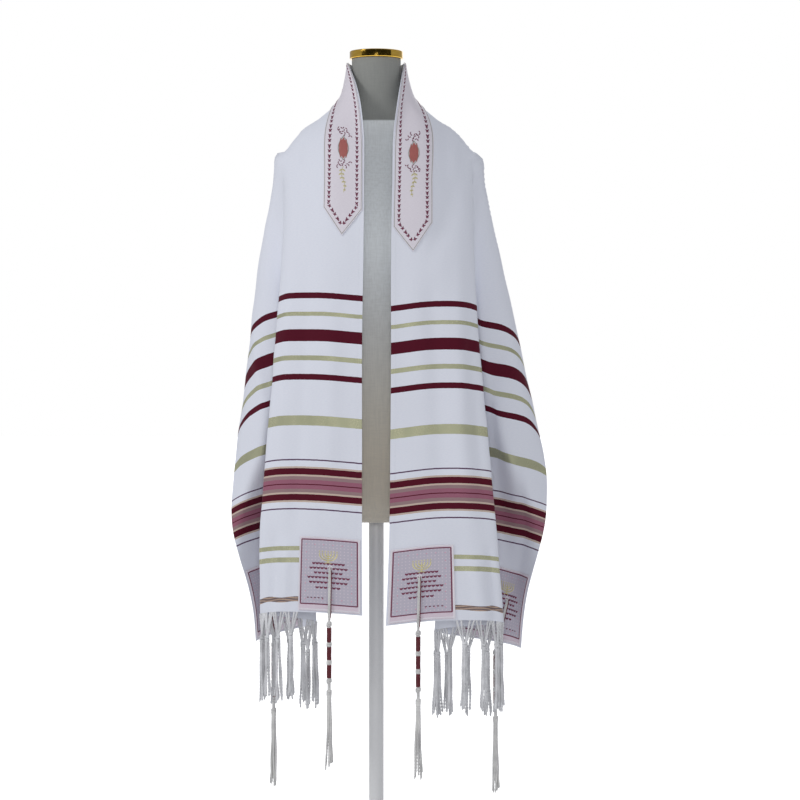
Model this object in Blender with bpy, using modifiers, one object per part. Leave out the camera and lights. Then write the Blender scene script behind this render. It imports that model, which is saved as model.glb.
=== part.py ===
"""A tallit prayer shawl draped over a limbless dress form on a plain stand.

Metres, +Z up, the wearer's front towards -Y. The origin is on the floor under the form's neck.

The cloth is one woven rectangle. A point of it is named by two lengths measured on the flat cloth: `across`, from
the neck edge to the outer edge, and `along`, from the middle of the back to a fringed end, positive to the
wearer's right, which is the viewer's left. The cloth hangs from a line over each shoulder. In front of it and
behind it the cloth drops straight, and past the shoulder point it fans out, which gives the tucked side folds.
"""

import math
import random
from collections import namedtuple

import bmesh
import bpy
import numpy as np

MM = 0.001
SEAM_GAP = 0.0003
PARTING_GAP = 0.0008

# The flat cloth
WIDTH = 0.450
CLOTH_THICKNESS = 0.0018
NECK_ALONG = 0.080
SHOULDER_ACROSS = 0.137
SHOULDER_ALONG = 0.265
SHOULDER_BEND = 0.62
SHOULDER_ROUND = 0.020
ACROSS_BEND = 1.7
FREE_HANG = 0.14
SLACK_REACH = 0.14

# Trim
BAND_EDGE = 0.070
BAND_POINT = 0.045
TRIM_THICKNESS = 0.0012
PATCH_WIDTH = 0.090
PATCH_HEIGHT = 0.120
PATCH_INSET = 0.003
EYELET_ACROSS = 0.045
EYELET_ABOVE_END = 0.074

# Fringe and tassels
FRINGE_STRIP = 0.006
LOCKS = 11
LOCK_KNOT_DROP = 0.036
LOCK_STRAND_LENGTH = 0.098
LOCK_STRANDS = 3
TASSEL_CORE_LENGTH = 0.122
TASSEL_STRAND_LENGTH = 0.122
TASSEL_STRANDS = 8
LEG_RADIUS = 0.0017
LEG_CLEARANCE = {"front": 0.0004, "rear": 0.0010}

# The dress form and its stand
TOP_HEIGHT = 1.450
CAP_HEIGHT = 0.013
CAP_RADIUS = 0.0445
FORM_BOTTOM = 0.665
POLE_RADIUS = 0.0125
BASE_RADIUS = 0.160
BASE_THICKNESS = 0.008
ROUND_SIDES = 32

Colour = namedtuple("Colour", "name red green blue roughness metallic")
WHITE_CLOTH = Colour("white_cloth", 0.86, 0.88, 0.92, 0.85, 0.0)
BAND_CLOTH = Colour("band_cloth", 0.80, 0.78, 0.80, 0.80, 0.0)
PATCH_CLOTH = Colour("patch_cloth", 0.74, 0.62, 0.68, 0.80, 0.0)
FRINGE_YARN = Colour("fringe_yarn", 0.80, 0.80, 0.80, 0.90, 0.0)
CORNER_STRING = Colour("corner_string", 0.45, 0.20, 0.22, 0.85, 0.0)
FORM_LINEN = Colour("form_linen", 0.60, 0.60, 0.56, 0.90, 0.0)
CAP_BRASS = Colour("cap_brass", 0.83, 0.64, 0.18, 0.20, 1.0)
STAND_PAINT = Colour("stand_paint", 0.85, 0.85, 0.85, 0.40, 0.0)

# Sections through the hanging cloth, by height. Each row of the tables below has a column for each of them.
HEIGHTS = (1.380, 1.310, 1.220, 1.100, 0.950, 0.800, 0.650, 0.490)

# One row for each fold line. `zone` says where it starts: front and back lines drop from the shoulder line, and
# `place` is their across or along. A fan line starts at the shoulder point, and `place` is its angle on the flat
# cloth in degrees. `shift` names the row of RIGHT_SHIFTS that the wider side adds. `slack` is how much the cloth gives
# on its way over the shoulder. Then each section's x, outwards, and y, to the rear. Both are in millimetres.
Fold = namedtuple("Fold", "name zone place shift slack neck collar yoke bust waist hip skirt hem")
FOLDS = (
    Fold("inner_edge", "front", 0.000, "inner", 5,
         (30, -49), (20, -80), (19, -110), (20, -126), (22, -131), (22, -133), (22, -135), (21, -136)),
    Fold("front_middle", "front", 0.070, "inner", 24,
         None, (84, -58), (84, -98), (88, -118), (92, -126), (96, -130), (100, -133), (104, -134)),
    Fold("front_edge", "fan", 0.0, "panel", 30,
         None, None, (145, -52), (146, -88), (150, -106), (156, -116), (164, -121), (166, -124)),
    Fold("front_fold", "fan", 3.5, "panel", 27,
         None, None, (151, -40), (154, -76), (165, -94), (177, -103), (188, -110), (188, -112)),
    Fold("front_tuck", "fan", 13.0, "tuck", 20,
         None, None, (153, -31), (144, -48), (130, -58), (118, -60), (106, -56), (98, -48)),
    Fold("wing_hidden", "fan", 21.0, "part_wing", 13,
         None, None, (156, -23), (151, -27), (147, -28), (147, -18), (160, -4), (186, -14)),
    Fold("wing_face", "fan", 28.0, "part_wing", 6,
         None, None, (161, -14), (164, -22), (167, -36), (189, -47), (230, -48), (230, -40)),
    Fold("wing_edge", "fan", 33.0, "wing", 0,
         None, None, (166, -6), (180, -14), (192, -26), (218, -26), (255, -18), (254, -10)),
    Fold("wing_tip", "fan", 40.0, "wing", 0,
         None, None, (174, 4), (196, 6), (213, 6), (232, 6), (252, 6), (256, 6)),
    Fold("wing_back", "fan", 50.0, "wing", 0,
         None, None, (164, 24), (178, 34), (190, 42), (200, 48), (206, 52), (210, 54)),
    Fold("back_tuck", "fan", 62.0, "none", 0,
         None, None, (152, 38), (152, 46), (154, 52), (156, 56), (158, 60), (160, 64)),
    Fold("back_fold", "fan", 76.0, "none", 0,
         None, None, (144, 58), (148, 84), (158, 102), (162, 110), (164, 114), (166, 116)),
    Fold("back_side", "fan", 90.0, "none", 0,
         None, None, (126, 76), (122, 96), (118, 106), (116, 110), (116, 112), (116, 114)),
    Fold("back_valley", "back", 0.170, "none", 0,
         None, (82, 56), (84, 86), (82, 102), (78, 112), (78, 116), (78, 118), (78, 120)),
    Fold("back_ridge", "back", 0.080, "none", 0,
         (49, 28), (52, 60), (48, 96), (46, 118), (46, 132), (46, 138), (46, 140), (46, 142)),
    Fold("centre_back", "back", 0.000, "none", 0,
         (0, 58), (0, 72), (0, 96), (0, 110), (0, 118), (0, 122), (0, 124), (0, 126)),
)

# How much further out the wider side's folds stand at each section, in millimetres
RIGHT_SHIFTS = {
    "none": (0, 0, 0, 0, 0, 0, 0, 0),
    "inner": (8, 9, 8, 5, 3, 2, 0, -5),
    "panel": (8, 8, 9, 7, 5, 6, 9, 21),
    "tuck": (0, 0, 6, 2, 0, 0, 0, 0),
    "part_wing": (0, 4, 8, 10, 16, 26, 42, 40),
    "wing": (0, 4, 9, 13, 29, 42, 52, 46),
}

# The line over the shoulder, from the side of the neck to the shoulder point: share of its length, x, y and height
ShoulderPoint = namedtuple("ShoulderPoint", "share x y z")
SHOULDER_LINE = (
    ShoulderPoint(0.00, 0.0470, 0.000, 1.432),
    ShoulderPoint(0.20, 0.0560, 0.002, 1.378),
    ShoulderPoint(0.45, 0.0900, 0.002, 1.342),
    ShoulderPoint(0.72, 0.1240, 0.001, 1.318),
    ShoulderPoint(1.00, 0.1530, 0.000, 1.283),
)
NAPE_BACK = 0.052
NAPE_HEIGHT = 1.428

# Each end of the cloth: its sign along and in x, half the cloth's length, the band's length to its corners, and how
# much further out the shoulder point lies
End = namedtuple("End", "name sign half_length band_length shoulder_shift shifts")
LEFT = End("left", 1, 1.025, 0.365, 0.000, False)
RIGHT = End("right", -1, 1.040, 0.392, 0.009, True)
ENDS = (LEFT, RIGHT)

# The flat cloth's grid lines across. The trim's edges are among them, so trim and cloth share their facets.
ACROSS_LINES = (
    0.000, PATCH_INSET, 0.024, 0.048, BAND_EDGE, PATCH_INSET + PATCH_WIDTH, 0.118, SHOULDER_ACROSS, 0.152, 0.168,
    0.186, 0.206, 0.228, 0.250, 0.272, 0.294, 0.316, 0.336, WIDTH - PATCH_INSET - PATCH_WIDTH, 0.379, 0.402, 0.425,
    WIDTH - PATCH_INSET, WIDTH,
)
END_STEPS = 26

# Rings of the form: height, half width, half depth, centre's y
Ring = namedtuple("Ring", "z width depth centre")
FORM_RINGS = (
    Ring(FORM_BOTTOM, 0.100, 0.070, 0.006),
    Ring(FORM_BOTTOM + 0.012, 0.112, 0.080, 0.006),
    Ring(0.730, 0.121, 0.087, 0.005),
    Ring(0.800, 0.120, 0.087, 0.003),
    Ring(0.880, 0.108, 0.078, -0.003),
    Ring(0.960, 0.096, 0.070, -0.008),
    Ring(1.030, 0.102, 0.074, -0.012),
    Ring(1.110, 0.118, 0.084, -0.014),
    Ring(1.180, 0.128, 0.078, -0.006),
    Ring(1.230, 0.138, 0.064, 0.000),
    Ring(1.262, 0.143, 0.050, 0.001),
    Ring(1.283, 0.1485, 0.040, 0.001),
    Ring(1.300, 0.130, 0.036, 0.001),
    Ring(1.318, 0.109, 0.034, 0.001),
    Ring(1.342, 0.077, 0.031, 0.000),
    Ring(1.360, 0.052, 0.033, -0.001),
    Ring(1.385, 0.0435, 0.037, 0.000),
    Ring(1.410, 0.0415, 0.0395, 0.000),
    Ring(TOP_HEIGHT - CAP_HEIGHT - SEAM_GAP, 0.0415, 0.0415, 0.000),
)

FAN_REACH = 0.400
CURVE_SAMPLES = 400
PROBE = 0.006


def spline(knots, values, at):
    """A smooth curve through `values` at the rising `knots`, read at `at`, and straight beyond both ends."""
    knots, values, at = np.asarray(knots), np.asarray(values), np.asarray(at)
    steps = np.diff(knots)
    slopes = np.diff(values, axis=0) / steps.reshape((-1,) + (1,) * (values.ndim - 1))
    tangents = np.empty_like(values)
    tangents[0], tangents[-1] = slopes[0], slopes[-1]
    for i in range(1, len(knots) - 1):
        tangents[i] = (slopes[i - 1] * steps[i] + slopes[i] * steps[i - 1]) / (steps[i - 1] + steps[i])
    i = np.clip(np.searchsorted(knots, at, side="right") - 1, 0, len(knots) - 2)
    inside = np.clip(at, knots[0], knots[-1])
    t = (inside - knots[i]) / steps[i]
    beyond = at - inside
    return hermite(t, steps[i], beyond, i, values, tangents)


def hermite(t, step, beyond, i, values, tangents):
    """Cubic pieces between values i and i + 1. `values` holds one value a knot, or one a knot and point."""
    if values.ndim == 3:
        points = np.arange(len(t))
        low, high, low_slope, high_slope = (
            values[i, points], values[i + 1, points], tangents[i, points], tangents[i + 1, points])
    else:
        low, high, low_slope, high_slope = values[i], values[i + 1], tangents[i], tangents[i + 1]
    t, step, beyond = t[:, None], step[:, None], beyond[:, None]
    edge_slope = np.where(beyond < 0, low_slope, high_slope)
    return (
        (2 * t**3 - 3 * t**2 + 1) * low
        + (t**3 - 2 * t**2 + t) * step * low_slope
        + (3 * t**2 - 2 * t**3) * high
        + (t**3 - t**2) * step * high_slope
        + beyond * edge_slope
    )


def shoulder_share(along):
    """How far down the shoulder line the cloth's line at `along` crosses it. The line bends near the neck."""
    return np.clip((along - NECK_ALONG) / (SHOULDER_ALONG - NECK_ALONG), 0, 1) ** (1 / SHOULDER_BEND)


def shoulder_crossing(share):
    """The flat cloth's along where the shoulder line has come this share of the way. It undoes shoulder_share."""
    return NECK_ALONG + (SHOULDER_ALONG - NECK_ALONG) * share**SHOULDER_BEND


def across_share(across):
    """How far down the shoulder line the cloth's line at `across` meets it. The cloth bunches near the neck."""
    return np.clip(across / SHOULDER_ACROSS, 0, 1) ** ACROSS_BEND


def across_of(share):
    """The flat cloth's across where the shoulder line has come this share of the way. It undoes across_share."""
    return SHOULDER_ACROSS * share ** (1 / ACROSS_BEND)


def eased(share):
    """A smooth step from 0 to 1."""
    share = np.clip(share, 0, 1)
    return share * share * (3 - 2 * share)


class Drape:
    """Where one side of the hanging cloth lies. x is outwards here, for both sides."""

    def __init__(self, end):
        self.end = end
        self.knots = [self.knot_of(fold) for fold in FOLDS]
        self.leads = [self.lead_of(fold) for fold in FOLDS]
        self.starts = np.array([self.start_of(fold) for fold in FOLDS])
        self.curves = [self.curve_of(fold, start) for fold, start in zip(FOLDS, self.starts)]

    def knot_of(self, fold):
        if fold.zone == "front":
            return fold.place
        if fold.zone == "fan":
            return SHOULDER_ACROSS + FAN_REACH * math.radians(fold.place)
        return SHOULDER_ACROSS + FAN_REACH * math.pi / 2 + SHOULDER_ALONG - fold.place

    def lead_of(self, fold):
        """How much longer the fold line is than one from the shoulder point, at the same level of the flat cloth."""
        if fold.zone == "front":
            return SHOULDER_ALONG - shoulder_crossing(across_share(fold.place))
        if fold.zone == "fan":
            return 0.0
        return SHOULDER_ACROSS - across_of(shoulder_share(fold.place))

    def shoulder(self, share):
        """Points of the shoulder line."""
        rows = np.array([(row.x, row.y, row.z) for row in SHOULDER_LINE])
        rows[:, 0] += self.end.shoulder_shift * np.array([row.share for row in SHOULDER_LINE])
        return spline([row.share for row in SHOULDER_LINE], rows, share)

    def start_of(self, fold):
        if fold.zone == "front":
            return self.shoulder(np.array([across_share(fold.place)]))[0]
        if fold.zone == "fan":
            return self.shoulder(np.array([1.0]))[0]
        return self.back_start(np.array([fold.place]))[0]

    def back_start(self, along):
        """Where the cloth behind starts: on the nape, or past the neck's side on the shoulder line."""
        turn = np.clip(along / NECK_ALONG, 0, 1) * math.pi / 2
        side = SHOULDER_LINE[0]
        nape = np.stack([
            side.x * np.sin(turn),
            side.y + (NAPE_BACK - side.y) * np.cos(turn),
            side.z + (NAPE_HEIGHT - side.z) * np.cos(turn),
        ], axis=1)
        return np.where((along < NECK_ALONG)[:, None], nape, self.shoulder(shoulder_share(along)))

    def curve_of(self, fold, start):
        """The fold line's points, as drops from its start, at even lengths down it."""
        points = [start]
        shifts = RIGHT_SHIFTS[fold.shift] if self.end.shifts else RIGHT_SHIFTS["none"]
        for height, section, shift in zip(HEIGHTS, fold[5:], shifts):
            if section is not None:
                points.append(np.array([(section[0] + shift) * MM, section[1] * MM, height]))
        if fold.zone == "fan" or fold.name in ("front_middle", "back_valley"):
            level = points[1] - start
            level[2] = 0
            reach = SHOULDER_ROUND * level / np.linalg.norm(level)
            points.insert(1, start + 0.6 * reach + np.array([0, 0, -0.18 * SHOULDER_ROUND]))
        points = np.array(points)
        knots = np.concatenate([[0], np.cumsum(np.linalg.norm(np.diff(points, axis=0), axis=1) ** 0.7)])
        fine = spline(knots, points, np.linspace(0, knots[-1] * 1.1, CURVE_SAMPLES))
        lengths = np.concatenate([[0], np.cumsum(np.linalg.norm(np.diff(fine, axis=0), axis=1))])
        return lengths - fold.slack * MM * eased(lengths / SLACK_REACH), fine - start

    def offsets(self, drops):
        """For each fold line, where it is at these lengths down it, from its start."""
        return np.stack([
            np.stack([np.interp(drop, lengths, offsets[:, axis]) for axis in range(3)], axis=1)
            for drop, (lengths, offsets) in zip(drops, self.curves)
        ])

    def place(self, across, along):
        """Points of the cloth's middle surface, for flat points on this side."""
        across, along = np.broadcast_arrays(np.asarray(across, float), np.asarray(along, float))
        out, down = across - SHOULDER_ACROSS, along - SHOULDER_ALONG
        fan = (out >= 0) & (down >= 0)
        ridge = across_of(shoulder_share(along))
        front = ~fan & (across < ridge)
        share = across_share(np.where(front, across, 0))
        start = np.where(fan[:, None], self.starts[2], self.back_start(along))
        start = np.where(front[:, None], self.shoulder(share), start)
        level = np.where(fan, np.hypot(out, down), np.where(front, down, out))
        drop = np.where(fan, level, np.where(front, along - shoulder_crossing(share), across - ridge))
        angle = np.arctan2(np.where(fan, out, 1), np.where(fan, down, 1))
        knot = np.where(fan, SHOULDER_ACROSS + FAN_REACH * angle,
                        SHOULDER_ACROSS + FAN_REACH * math.pi / 2 + SHOULDER_ALONG - along)
        knot = np.where(front, across, knot)
        near = start + spline(self.knots, self.offsets([drop] * len(FOLDS)), knot)
        hanging = self.offsets([level + lead for lead in self.leads]) + self.starts[:, None, :]
        free = spline(self.knots, hanging, knot)
        return near + (free - near) * eased(drop / FREE_HANG)[:, None]


DRAPES = {end.sign: Drape(end) for end in ENDS}


def cloth_points(across, along):
    """Points of the cloth's middle surface in the part's frame. The wearer's right side lies at -x."""
    across, along = np.broadcast_arrays(np.asarray(across, float), np.asarray(along, float))
    flat_across, flat_along = across.ravel(), along.ravel()
    points = np.empty((flat_across.size, 3))
    for sign, drape in DRAPES.items():
        mine = (flat_along >= 0) == (sign > 0)
        if mine.any():
            points[mine] = drape.place(flat_across[mine], np.abs(flat_along[mine])) * (-sign, 1, 1)
    return points.reshape(across.shape + (3,))


def cloth_normals(across, along):
    """The cloth's outward directions, read over a small stretch so that they are smooth."""
    across, along = np.broadcast_arrays(np.asarray(across, float), np.asarray(along, float))
    over = cloth_points(across + PROBE, along) - cloth_points(np.maximum(across - PROBE, 0), along)
    down = cloth_points(across, along + PROBE) - cloth_points(across, along - PROBE)
    normals = np.cross(over, down)
    return normals / np.linalg.norm(normals, axis=-1, keepdims=True)


def material_of(colour):
    material = bpy.data.materials.get(colour.name)
    if material is None:
        material = bpy.data.materials.new(colour.name)
        material.use_nodes = True
        shader = material.node_tree.nodes["Principled BSDF"]
        shader.inputs["Base Color"].default_value = (colour.red, colour.green, colour.blue, 1)
        shader.inputs["Roughness"].default_value = colour.roughness
        shader.inputs["Metallic"].default_value = colour.metallic
        material.diffuse_color = (colour.red, colour.green, colour.blue, 1)
    return material


def new_object(name, mesh, colour, collection, smooth_angle=50):
    mesh.materials.append(material_of(colour))
    mesh.shade_smooth()
    mesh.set_sharp_from_angle(angle=math.radians(smooth_angle))
    item = bpy.data.objects.new(name, mesh)
    collection.objects.link(item)
    return item


def wall_mesh(name, across, along, lift, thickness):
    """A closed wall on a grid of flat points, its middle moved out from the cloth's middle by `lift`.

    Each cell is cut in two along the way that the side folds run, the same in the cloth and in the trim on it.
    """
    middle = cloth_points(across, along)
    normals = cloth_normals(across, along)
    rows, columns = middle.shape[:2]
    outer = middle + normals * (lift + thickness / 2)
    inner = middle + normals * (lift - thickness / 2)
    count = rows * columns

    def corner(layer, row, column):
        return layer * count + row * columns + column

    faces = []
    for row in range(rows - 1):
        for column in range(columns - 1):
            quad = [(row, column), (row + 1, column), (row + 1, column + 1), (row, column + 1)]
            if along[row, column] < 0:
                quad = quad[1:] + quad[:1]
            for half in (quad[:3], quad[2:] + quad[:1]):
                faces.append([corner(0, *place) for place in half])
                faces.append([corner(1, *place) for place in reversed(half)])
    border = (
        [(0, column) for column in range(columns)]
        + [(row, columns - 1) for row in range(1, rows)]
        + [(rows - 1, column) for column in range(columns - 2, -1, -1)]
        + [(row, 0) for row in range(rows - 2, 0, -1)]
    )
    for here, there in zip(border, border[1:] + border[:1]):
        faces.append([corner(0, *here), corner(0, *there), corner(1, *there), corner(1, *here)])
    mesh = bpy.data.meshes.new(name)
    mesh.from_pydata(np.concatenate([outer.reshape(-1, 3), inner.reshape(-1, 3)]).tolist(), [], faces)
    face_out(mesh)
    return mesh


def face_out(mesh):
    work = bmesh.new()
    work.from_mesh(mesh)
    bmesh.ops.recalc_face_normals(work, faces=work.faces)
    work.to_mesh(mesh)
    work.free()


def end_lines(end):
    """The flat cloth's lines down one end, from the shoulder point's line to the fringed edge."""
    patch_top = end.half_length - PATCH_HEIGHT - PATCH_INSET
    upper = np.linspace(SHOULDER_ALONG + PARTING_GAP / 2, patch_top, END_STEPS + 1)
    patch = np.linspace(patch_top, end.half_length - PATCH_INSET, 5)[1:]
    return np.concatenate([upper, patch, [end.half_length]])


def back_lines():
    """The flat cloth's lines over the back, from one shoulder point's line to the other's."""
    side = np.linspace(NECK_ALONG, SHOULDER_ALONG - PARTING_GAP / 2, 7)
    return np.concatenate([-side[::-1], np.linspace(-NECK_ALONG, NECK_ALONG, 7)[1:-1], side])


def build_cloth(collection):
    stretches = {"back_panel": back_lines()}
    for end in ENDS:
        stretches[f"{end.name}_end"] = np.sort(end.sign * end_lines(end))
    for name, along in stretches.items():
        grid = np.meshgrid(ACROSS_LINES, along, indexing="ij")
        new_object(name, wall_mesh(name, *grid, 0, CLOTH_THICKNESS), WHITE_CLOTH, collection)


def trim_lift():
    return CLOTH_THICKNESS / 2 + SEAM_GAP + TRIM_THICKNESS / 2


def build_neckband(collection):
    """The band round the neck edge. Its two ends run to a point on its centre line."""
    across = np.array([line for line in ACROSS_LINES if PATCH_INSET <= line <= BAND_EDGE])
    middle = (PATCH_INSET + BAND_EDGE) / 2
    point = BAND_POINT * (1 - np.abs(across - middle) / (BAND_EDGE - middle))
    columns = [np.repeat(line, len(across)) for line in back_lines()]
    for end in ENDS:
        lines = [line for line in end_lines(end)[1:] if line < end.band_length - BAND_POINT / 2]
        tail = [np.repeat(end.sign * line, len(across)) for line in lines]
        for share in (0.5, 1.0):
            tail.append(end.sign * (lines[-1] + share * (end.band_length + point - lines[-1])))
        columns = columns + tail if end.sign > 0 else tail[::-1] + columns
    along = np.stack(columns, axis=1)
    across = np.repeat(across[:, None], along.shape[1], axis=1)
    mesh = wall_mesh("neckband", across, along, trim_lift() + SEAM_GAP, TRIM_THICKNESS)
    new_object("neckband", mesh, BAND_CLOTH, collection)


def patch_across(place):
    """The patch's inner and outer edge, measured across the cloth."""
    if place == "front":
        return PATCH_INSET, PATCH_INSET + PATCH_WIDTH
    return WIDTH - PATCH_INSET - PATCH_WIDTH, WIDTH - PATCH_INSET


def build_patches(collection):
    for end in ENDS:
        for place in ("front", "rear"):
            low, high = patch_across(place)
            across = [line for line in ACROSS_LINES if low <= line <= high]
            along = np.sort(end.sign * end_lines(end)[-6:-1])
            grid = np.meshgrid(across, along, indexing="ij")
            name = f"patch_{end.name}_{place}"
            new_object(name, wall_mesh(name, *grid, trim_lift(), TRIM_THICKNESS), PATCH_CLOTH, collection)


def tube_mesh(name, routes):
    """One mesh of separate closed tubes. A route is a list of points, a radius for each, and a number of sides."""
    mesh = bpy.data.meshes.new(name)
    vertices, faces = [], []
    for points, radii, sides in routes:
        points = np.asarray(points, float)
        first = len(vertices)
        for i, (point, radius) in enumerate(zip(points, radii)):
            heading = points[min(i + 1, len(points) - 1)] - points[max(i - 1, 0)]
            heading /= np.linalg.norm(heading)
            side = np.cross(heading, (0, 1, 0.01))
            side /= np.linalg.norm(side)
            other = np.cross(heading, side)
            for turn in np.arange(sides) / sides * 2 * math.pi:
                vertices.append(point + radius * (side * math.cos(turn) + other * math.sin(turn)))
        for i in range(len(points) - 1):
            for j in range(sides):
                here, there = first + i * sides, first + (i + 1) * sides
                faces.append([here + j, here + (j + 1) % sides, there + (j + 1) % sides, there + j])
        faces.append([first + j for j in reversed(range(sides))])
        faces.append([len(vertices) - sides + j for j in range(sides)])
    mesh.from_pydata([tuple(vertex) for vertex in vertices], [], faces)
    face_out(mesh)
    return mesh


def fuse(item, roots, cutters):
    """Joins tubes into `item` with Boolean unions. Each mesh in `roots` holds tubes that don't meet each other."""
    for i, mesh in enumerate(roots):
        guide = bpy.data.objects.new(f"{item.name}_roots_{i}", mesh)
        guide.hide_render = True
        guide.display_type = "WIRE"
        cutters.objects.link(guide)
        modifier = item.modifiers.new(f"Join {i}", "BOOLEAN")
        modifier.operation = "UNION"
        modifier.solver = "EXACT"
        modifier.object = guide


def hang(start, length, sway, steps):
    """A strand that hangs down from `start` and drifts sideways by `sway` at its tip."""
    shares = np.linspace(0, 1, steps + 1)
    drift = np.outer(shares**1.5, np.array([sway[0], sway[1], 0]))
    return start + drift + np.outer(shares, [0, 0, -length])


def strip_point(end, lines, across):
    """A point in the middle of the fringe's backing strip, on the flat facet between two of its lines."""
    along = end.sign * (end.half_length + PARTING_GAP + FRINGE_STRIP * 0.6)
    corners = cloth_points(lines, np.full(len(lines), along))
    return np.array([np.interp(across, lines, corners[:, axis]) for axis in range(3)])


def build_fringe(end, collection, cutters, chance):
    """A row of knotted locks between the two corner patches, on a narrow strip below the woven edge."""
    low, high = patch_across("front")[1], patch_across("rear")[0]
    lines = [line for line in ACROSS_LINES if low <= line <= high]
    edge = end.half_length + PARTING_GAP
    along = np.sort(end.sign * np.array([edge, edge + FRINGE_STRIP]))
    name = f"fringe_{end.name}"
    grid = np.meshgrid(lines, along, indexing="ij")
    strip = new_object(name, wall_mesh(name, *grid, 0, CLOTH_THICKNESS), FRINGE_YARN, collection)
    pitch = (high - low) / LOCKS
    legs, knots, strands = [], [], []
    for i in range(LOCKS):
        middle = low + (i + 0.5) * pitch
        root = strip_point(end, lines, middle)
        knot = root + (chance.uniform(-3, 3) * MM, chance.uniform(-2, 2) * MM, -LOCK_KNOT_DROP)
        knot[2] += chance.uniform(-5, 5) * MM
        for side in (-1, 1):
            foot = strip_point(end, lines, middle + side * 0.34 * pitch)
            bend = foot + 0.5 * (knot - foot) + (0, 0, -2 * MM)
            tip = knot + (knot - bend) * 0.04
            legs.append(([foot, bend, tip], (1.0 * MM, 1.9 * MM, 1.6 * MM), 3))
        knots.append(([knot + (0, 0, dz * MM) for dz in (5.5, 2, -2, -5.5)],
                      (1.8 * MM, 4.0 * MM, 4.0 * MM, 1.8 * MM), 5))
        for turn in range(LOCK_STRANDS):
            angle = 2 * math.pi * (turn + chance.random() * 0.3) / LOCK_STRANDS
            spread = np.array([math.cos(angle), math.sin(angle), 0])
            length = LOCK_STRAND_LENGTH + chance.uniform(-9, 6) * MM
            sway = spread[:2] * chance.uniform(1.5, 4) * MM
            start = knot + spread * 1.9 * MM + (0, 0, -3 * MM)
            strands.append((hang(start, length, sway, 2), (1.2 * MM, 1.8 * MM, 1.2 * MM), 4))
    roots = [tube_mesh(f"{name}_legs_{i}", legs[i::2]) for i in (0, 1)]
    roots += [tube_mesh(f"{name}_knots", knots), tube_mesh(f"{name}_strands", strands)]
    fuse(strip, roots, cutters)


# Radii down a wound tassel core: three long windings parted by single knots, and a last double knot
CORE_PROFILE = (
    (0.00, 2.2), (0.02, 5.2), (0.07, 5.2), (0.10, 3.4), (0.27, 3.4), (0.29, 5.0), (0.33, 5.0), (0.35, 3.4),
    (0.51, 3.4), (0.53, 5.0), (0.57, 5.0), (0.59, 3.4), (0.75, 3.4), (0.77, 5.0), (0.81, 5.0), (0.83, 3.2),
    (0.92, 3.2), (0.94, 5.0), (0.98, 5.0), (1.00, 2.4),
)
CORE_SIDES = 6


def build_tassel(end, place, collection, cutters, chance):
    """A corner tassel: its strings come out of the patch's eyelet and run down to a wound and knotted core."""
    eyelet = EYELET_ACROSS if place == "front" else WIDTH - EYELET_ACROSS
    bottom = end.half_length
    stand_off = CLOTH_THICKNESS / 2 + SEAM_GAP + TRIM_THICKNESS + LEG_CLEARANCE[place] + LEG_RADIUS
    down = np.linspace(bottom - EYELET_ABOVE_END, bottom + 0.004, 5)
    across = np.full(5, eyelet)
    leg = cloth_points(across, end.sign * down) + cloth_normals(across, end.sign * down) * stand_off
    top = leg[-1] + (0, 0, -8 * MM)
    name = f"tassel_{end.name}_{place}"
    core = [top + (0, 0, -share * TASSEL_CORE_LENGTH) for share, _ in CORE_PROFILE]
    radii = [radius * MM for _, radius in CORE_PROFILE]
    body = new_object(name, tube_mesh(name, [(core, radii, CORE_SIDES)]), CORNER_STRING, collection, 80)
    route = list(leg) + [top + (0, 0, -4 * MM)]
    legs = tube_mesh(f"{name}_leg", [(route, [LEG_RADIUS] * len(route), 4)])
    strands = []
    for turn in range(TASSEL_STRANDS):
        angle = 2 * math.pi * turn / TASSEL_STRANDS
        spread = np.array([math.cos(angle), math.sin(angle), 0])
        length = TASSEL_STRAND_LENGTH + chance.uniform(-10, 4) * MM
        start = core[-1] + spread * 3.3 * MM + (0, 0, 4 * MM)
        sway = spread[:2] * chance.uniform(1.5, 4.5) * MM
        strands.append((hang(start, length, sway, 2), (0.9 * MM, 1.2 * MM, 1.0 * MM), 4))
    fuse(body, [legs, tube_mesh(f"{name}_strands", strands)], cutters)


def build_form(collection):
    """The padded torso: smooth rings from the neck down to a rounded lower edge."""
    turns = np.arange(ROUND_SIDES) / ROUND_SIDES * 2 * math.pi
    vertices = [
        (ring.width * math.cos(turn), ring.centre + ring.depth * math.sin(turn), ring.z)
        for ring in FORM_RINGS
        for turn in turns
    ]
    faces = []
    for row in range(len(FORM_RINGS) - 1):
        for j in range(ROUND_SIDES):
            k = (j + 1) % ROUND_SIDES
            faces.append([row * ROUND_SIDES + j, row * ROUND_SIDES + k,
                          (row + 1) * ROUND_SIDES + k, (row + 1) * ROUND_SIDES + j])
    faces.append(list(reversed(range(ROUND_SIDES))))
    faces.append([(len(FORM_RINGS) - 1) * ROUND_SIDES + j for j in range(ROUND_SIDES)])
    mesh = bpy.data.meshes.new("form_body")
    mesh.from_pydata(vertices, [], faces)
    face_out(mesh)
    new_object("form_body", mesh, FORM_LINEN, collection)


def build_cylinder(name, radius, low, high, bevel, colour, collection):
    bpy.ops.mesh.primitive_cylinder_add(vertices=ROUND_SIDES, radius=radius, depth=high - low,
                                        location=(0, 0, (low + high) / 2))
    item = bpy.context.object
    item.name = name
    item.data.name = name
    for owner in list(item.users_collection):
        owner.objects.unlink(item)
    collection.objects.link(item)
    item.data.materials.append(material_of(colour))
    item.data.shade_smooth()
    item.data.set_sharp_from_angle(angle=math.radians(40))
    if bevel:
        modifier = item.modifiers.new("Rounded edges", "BEVEL")
        modifier.width = bevel
        modifier.segments = 2
        modifier.limit_method = "ANGLE"
    return item


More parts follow.
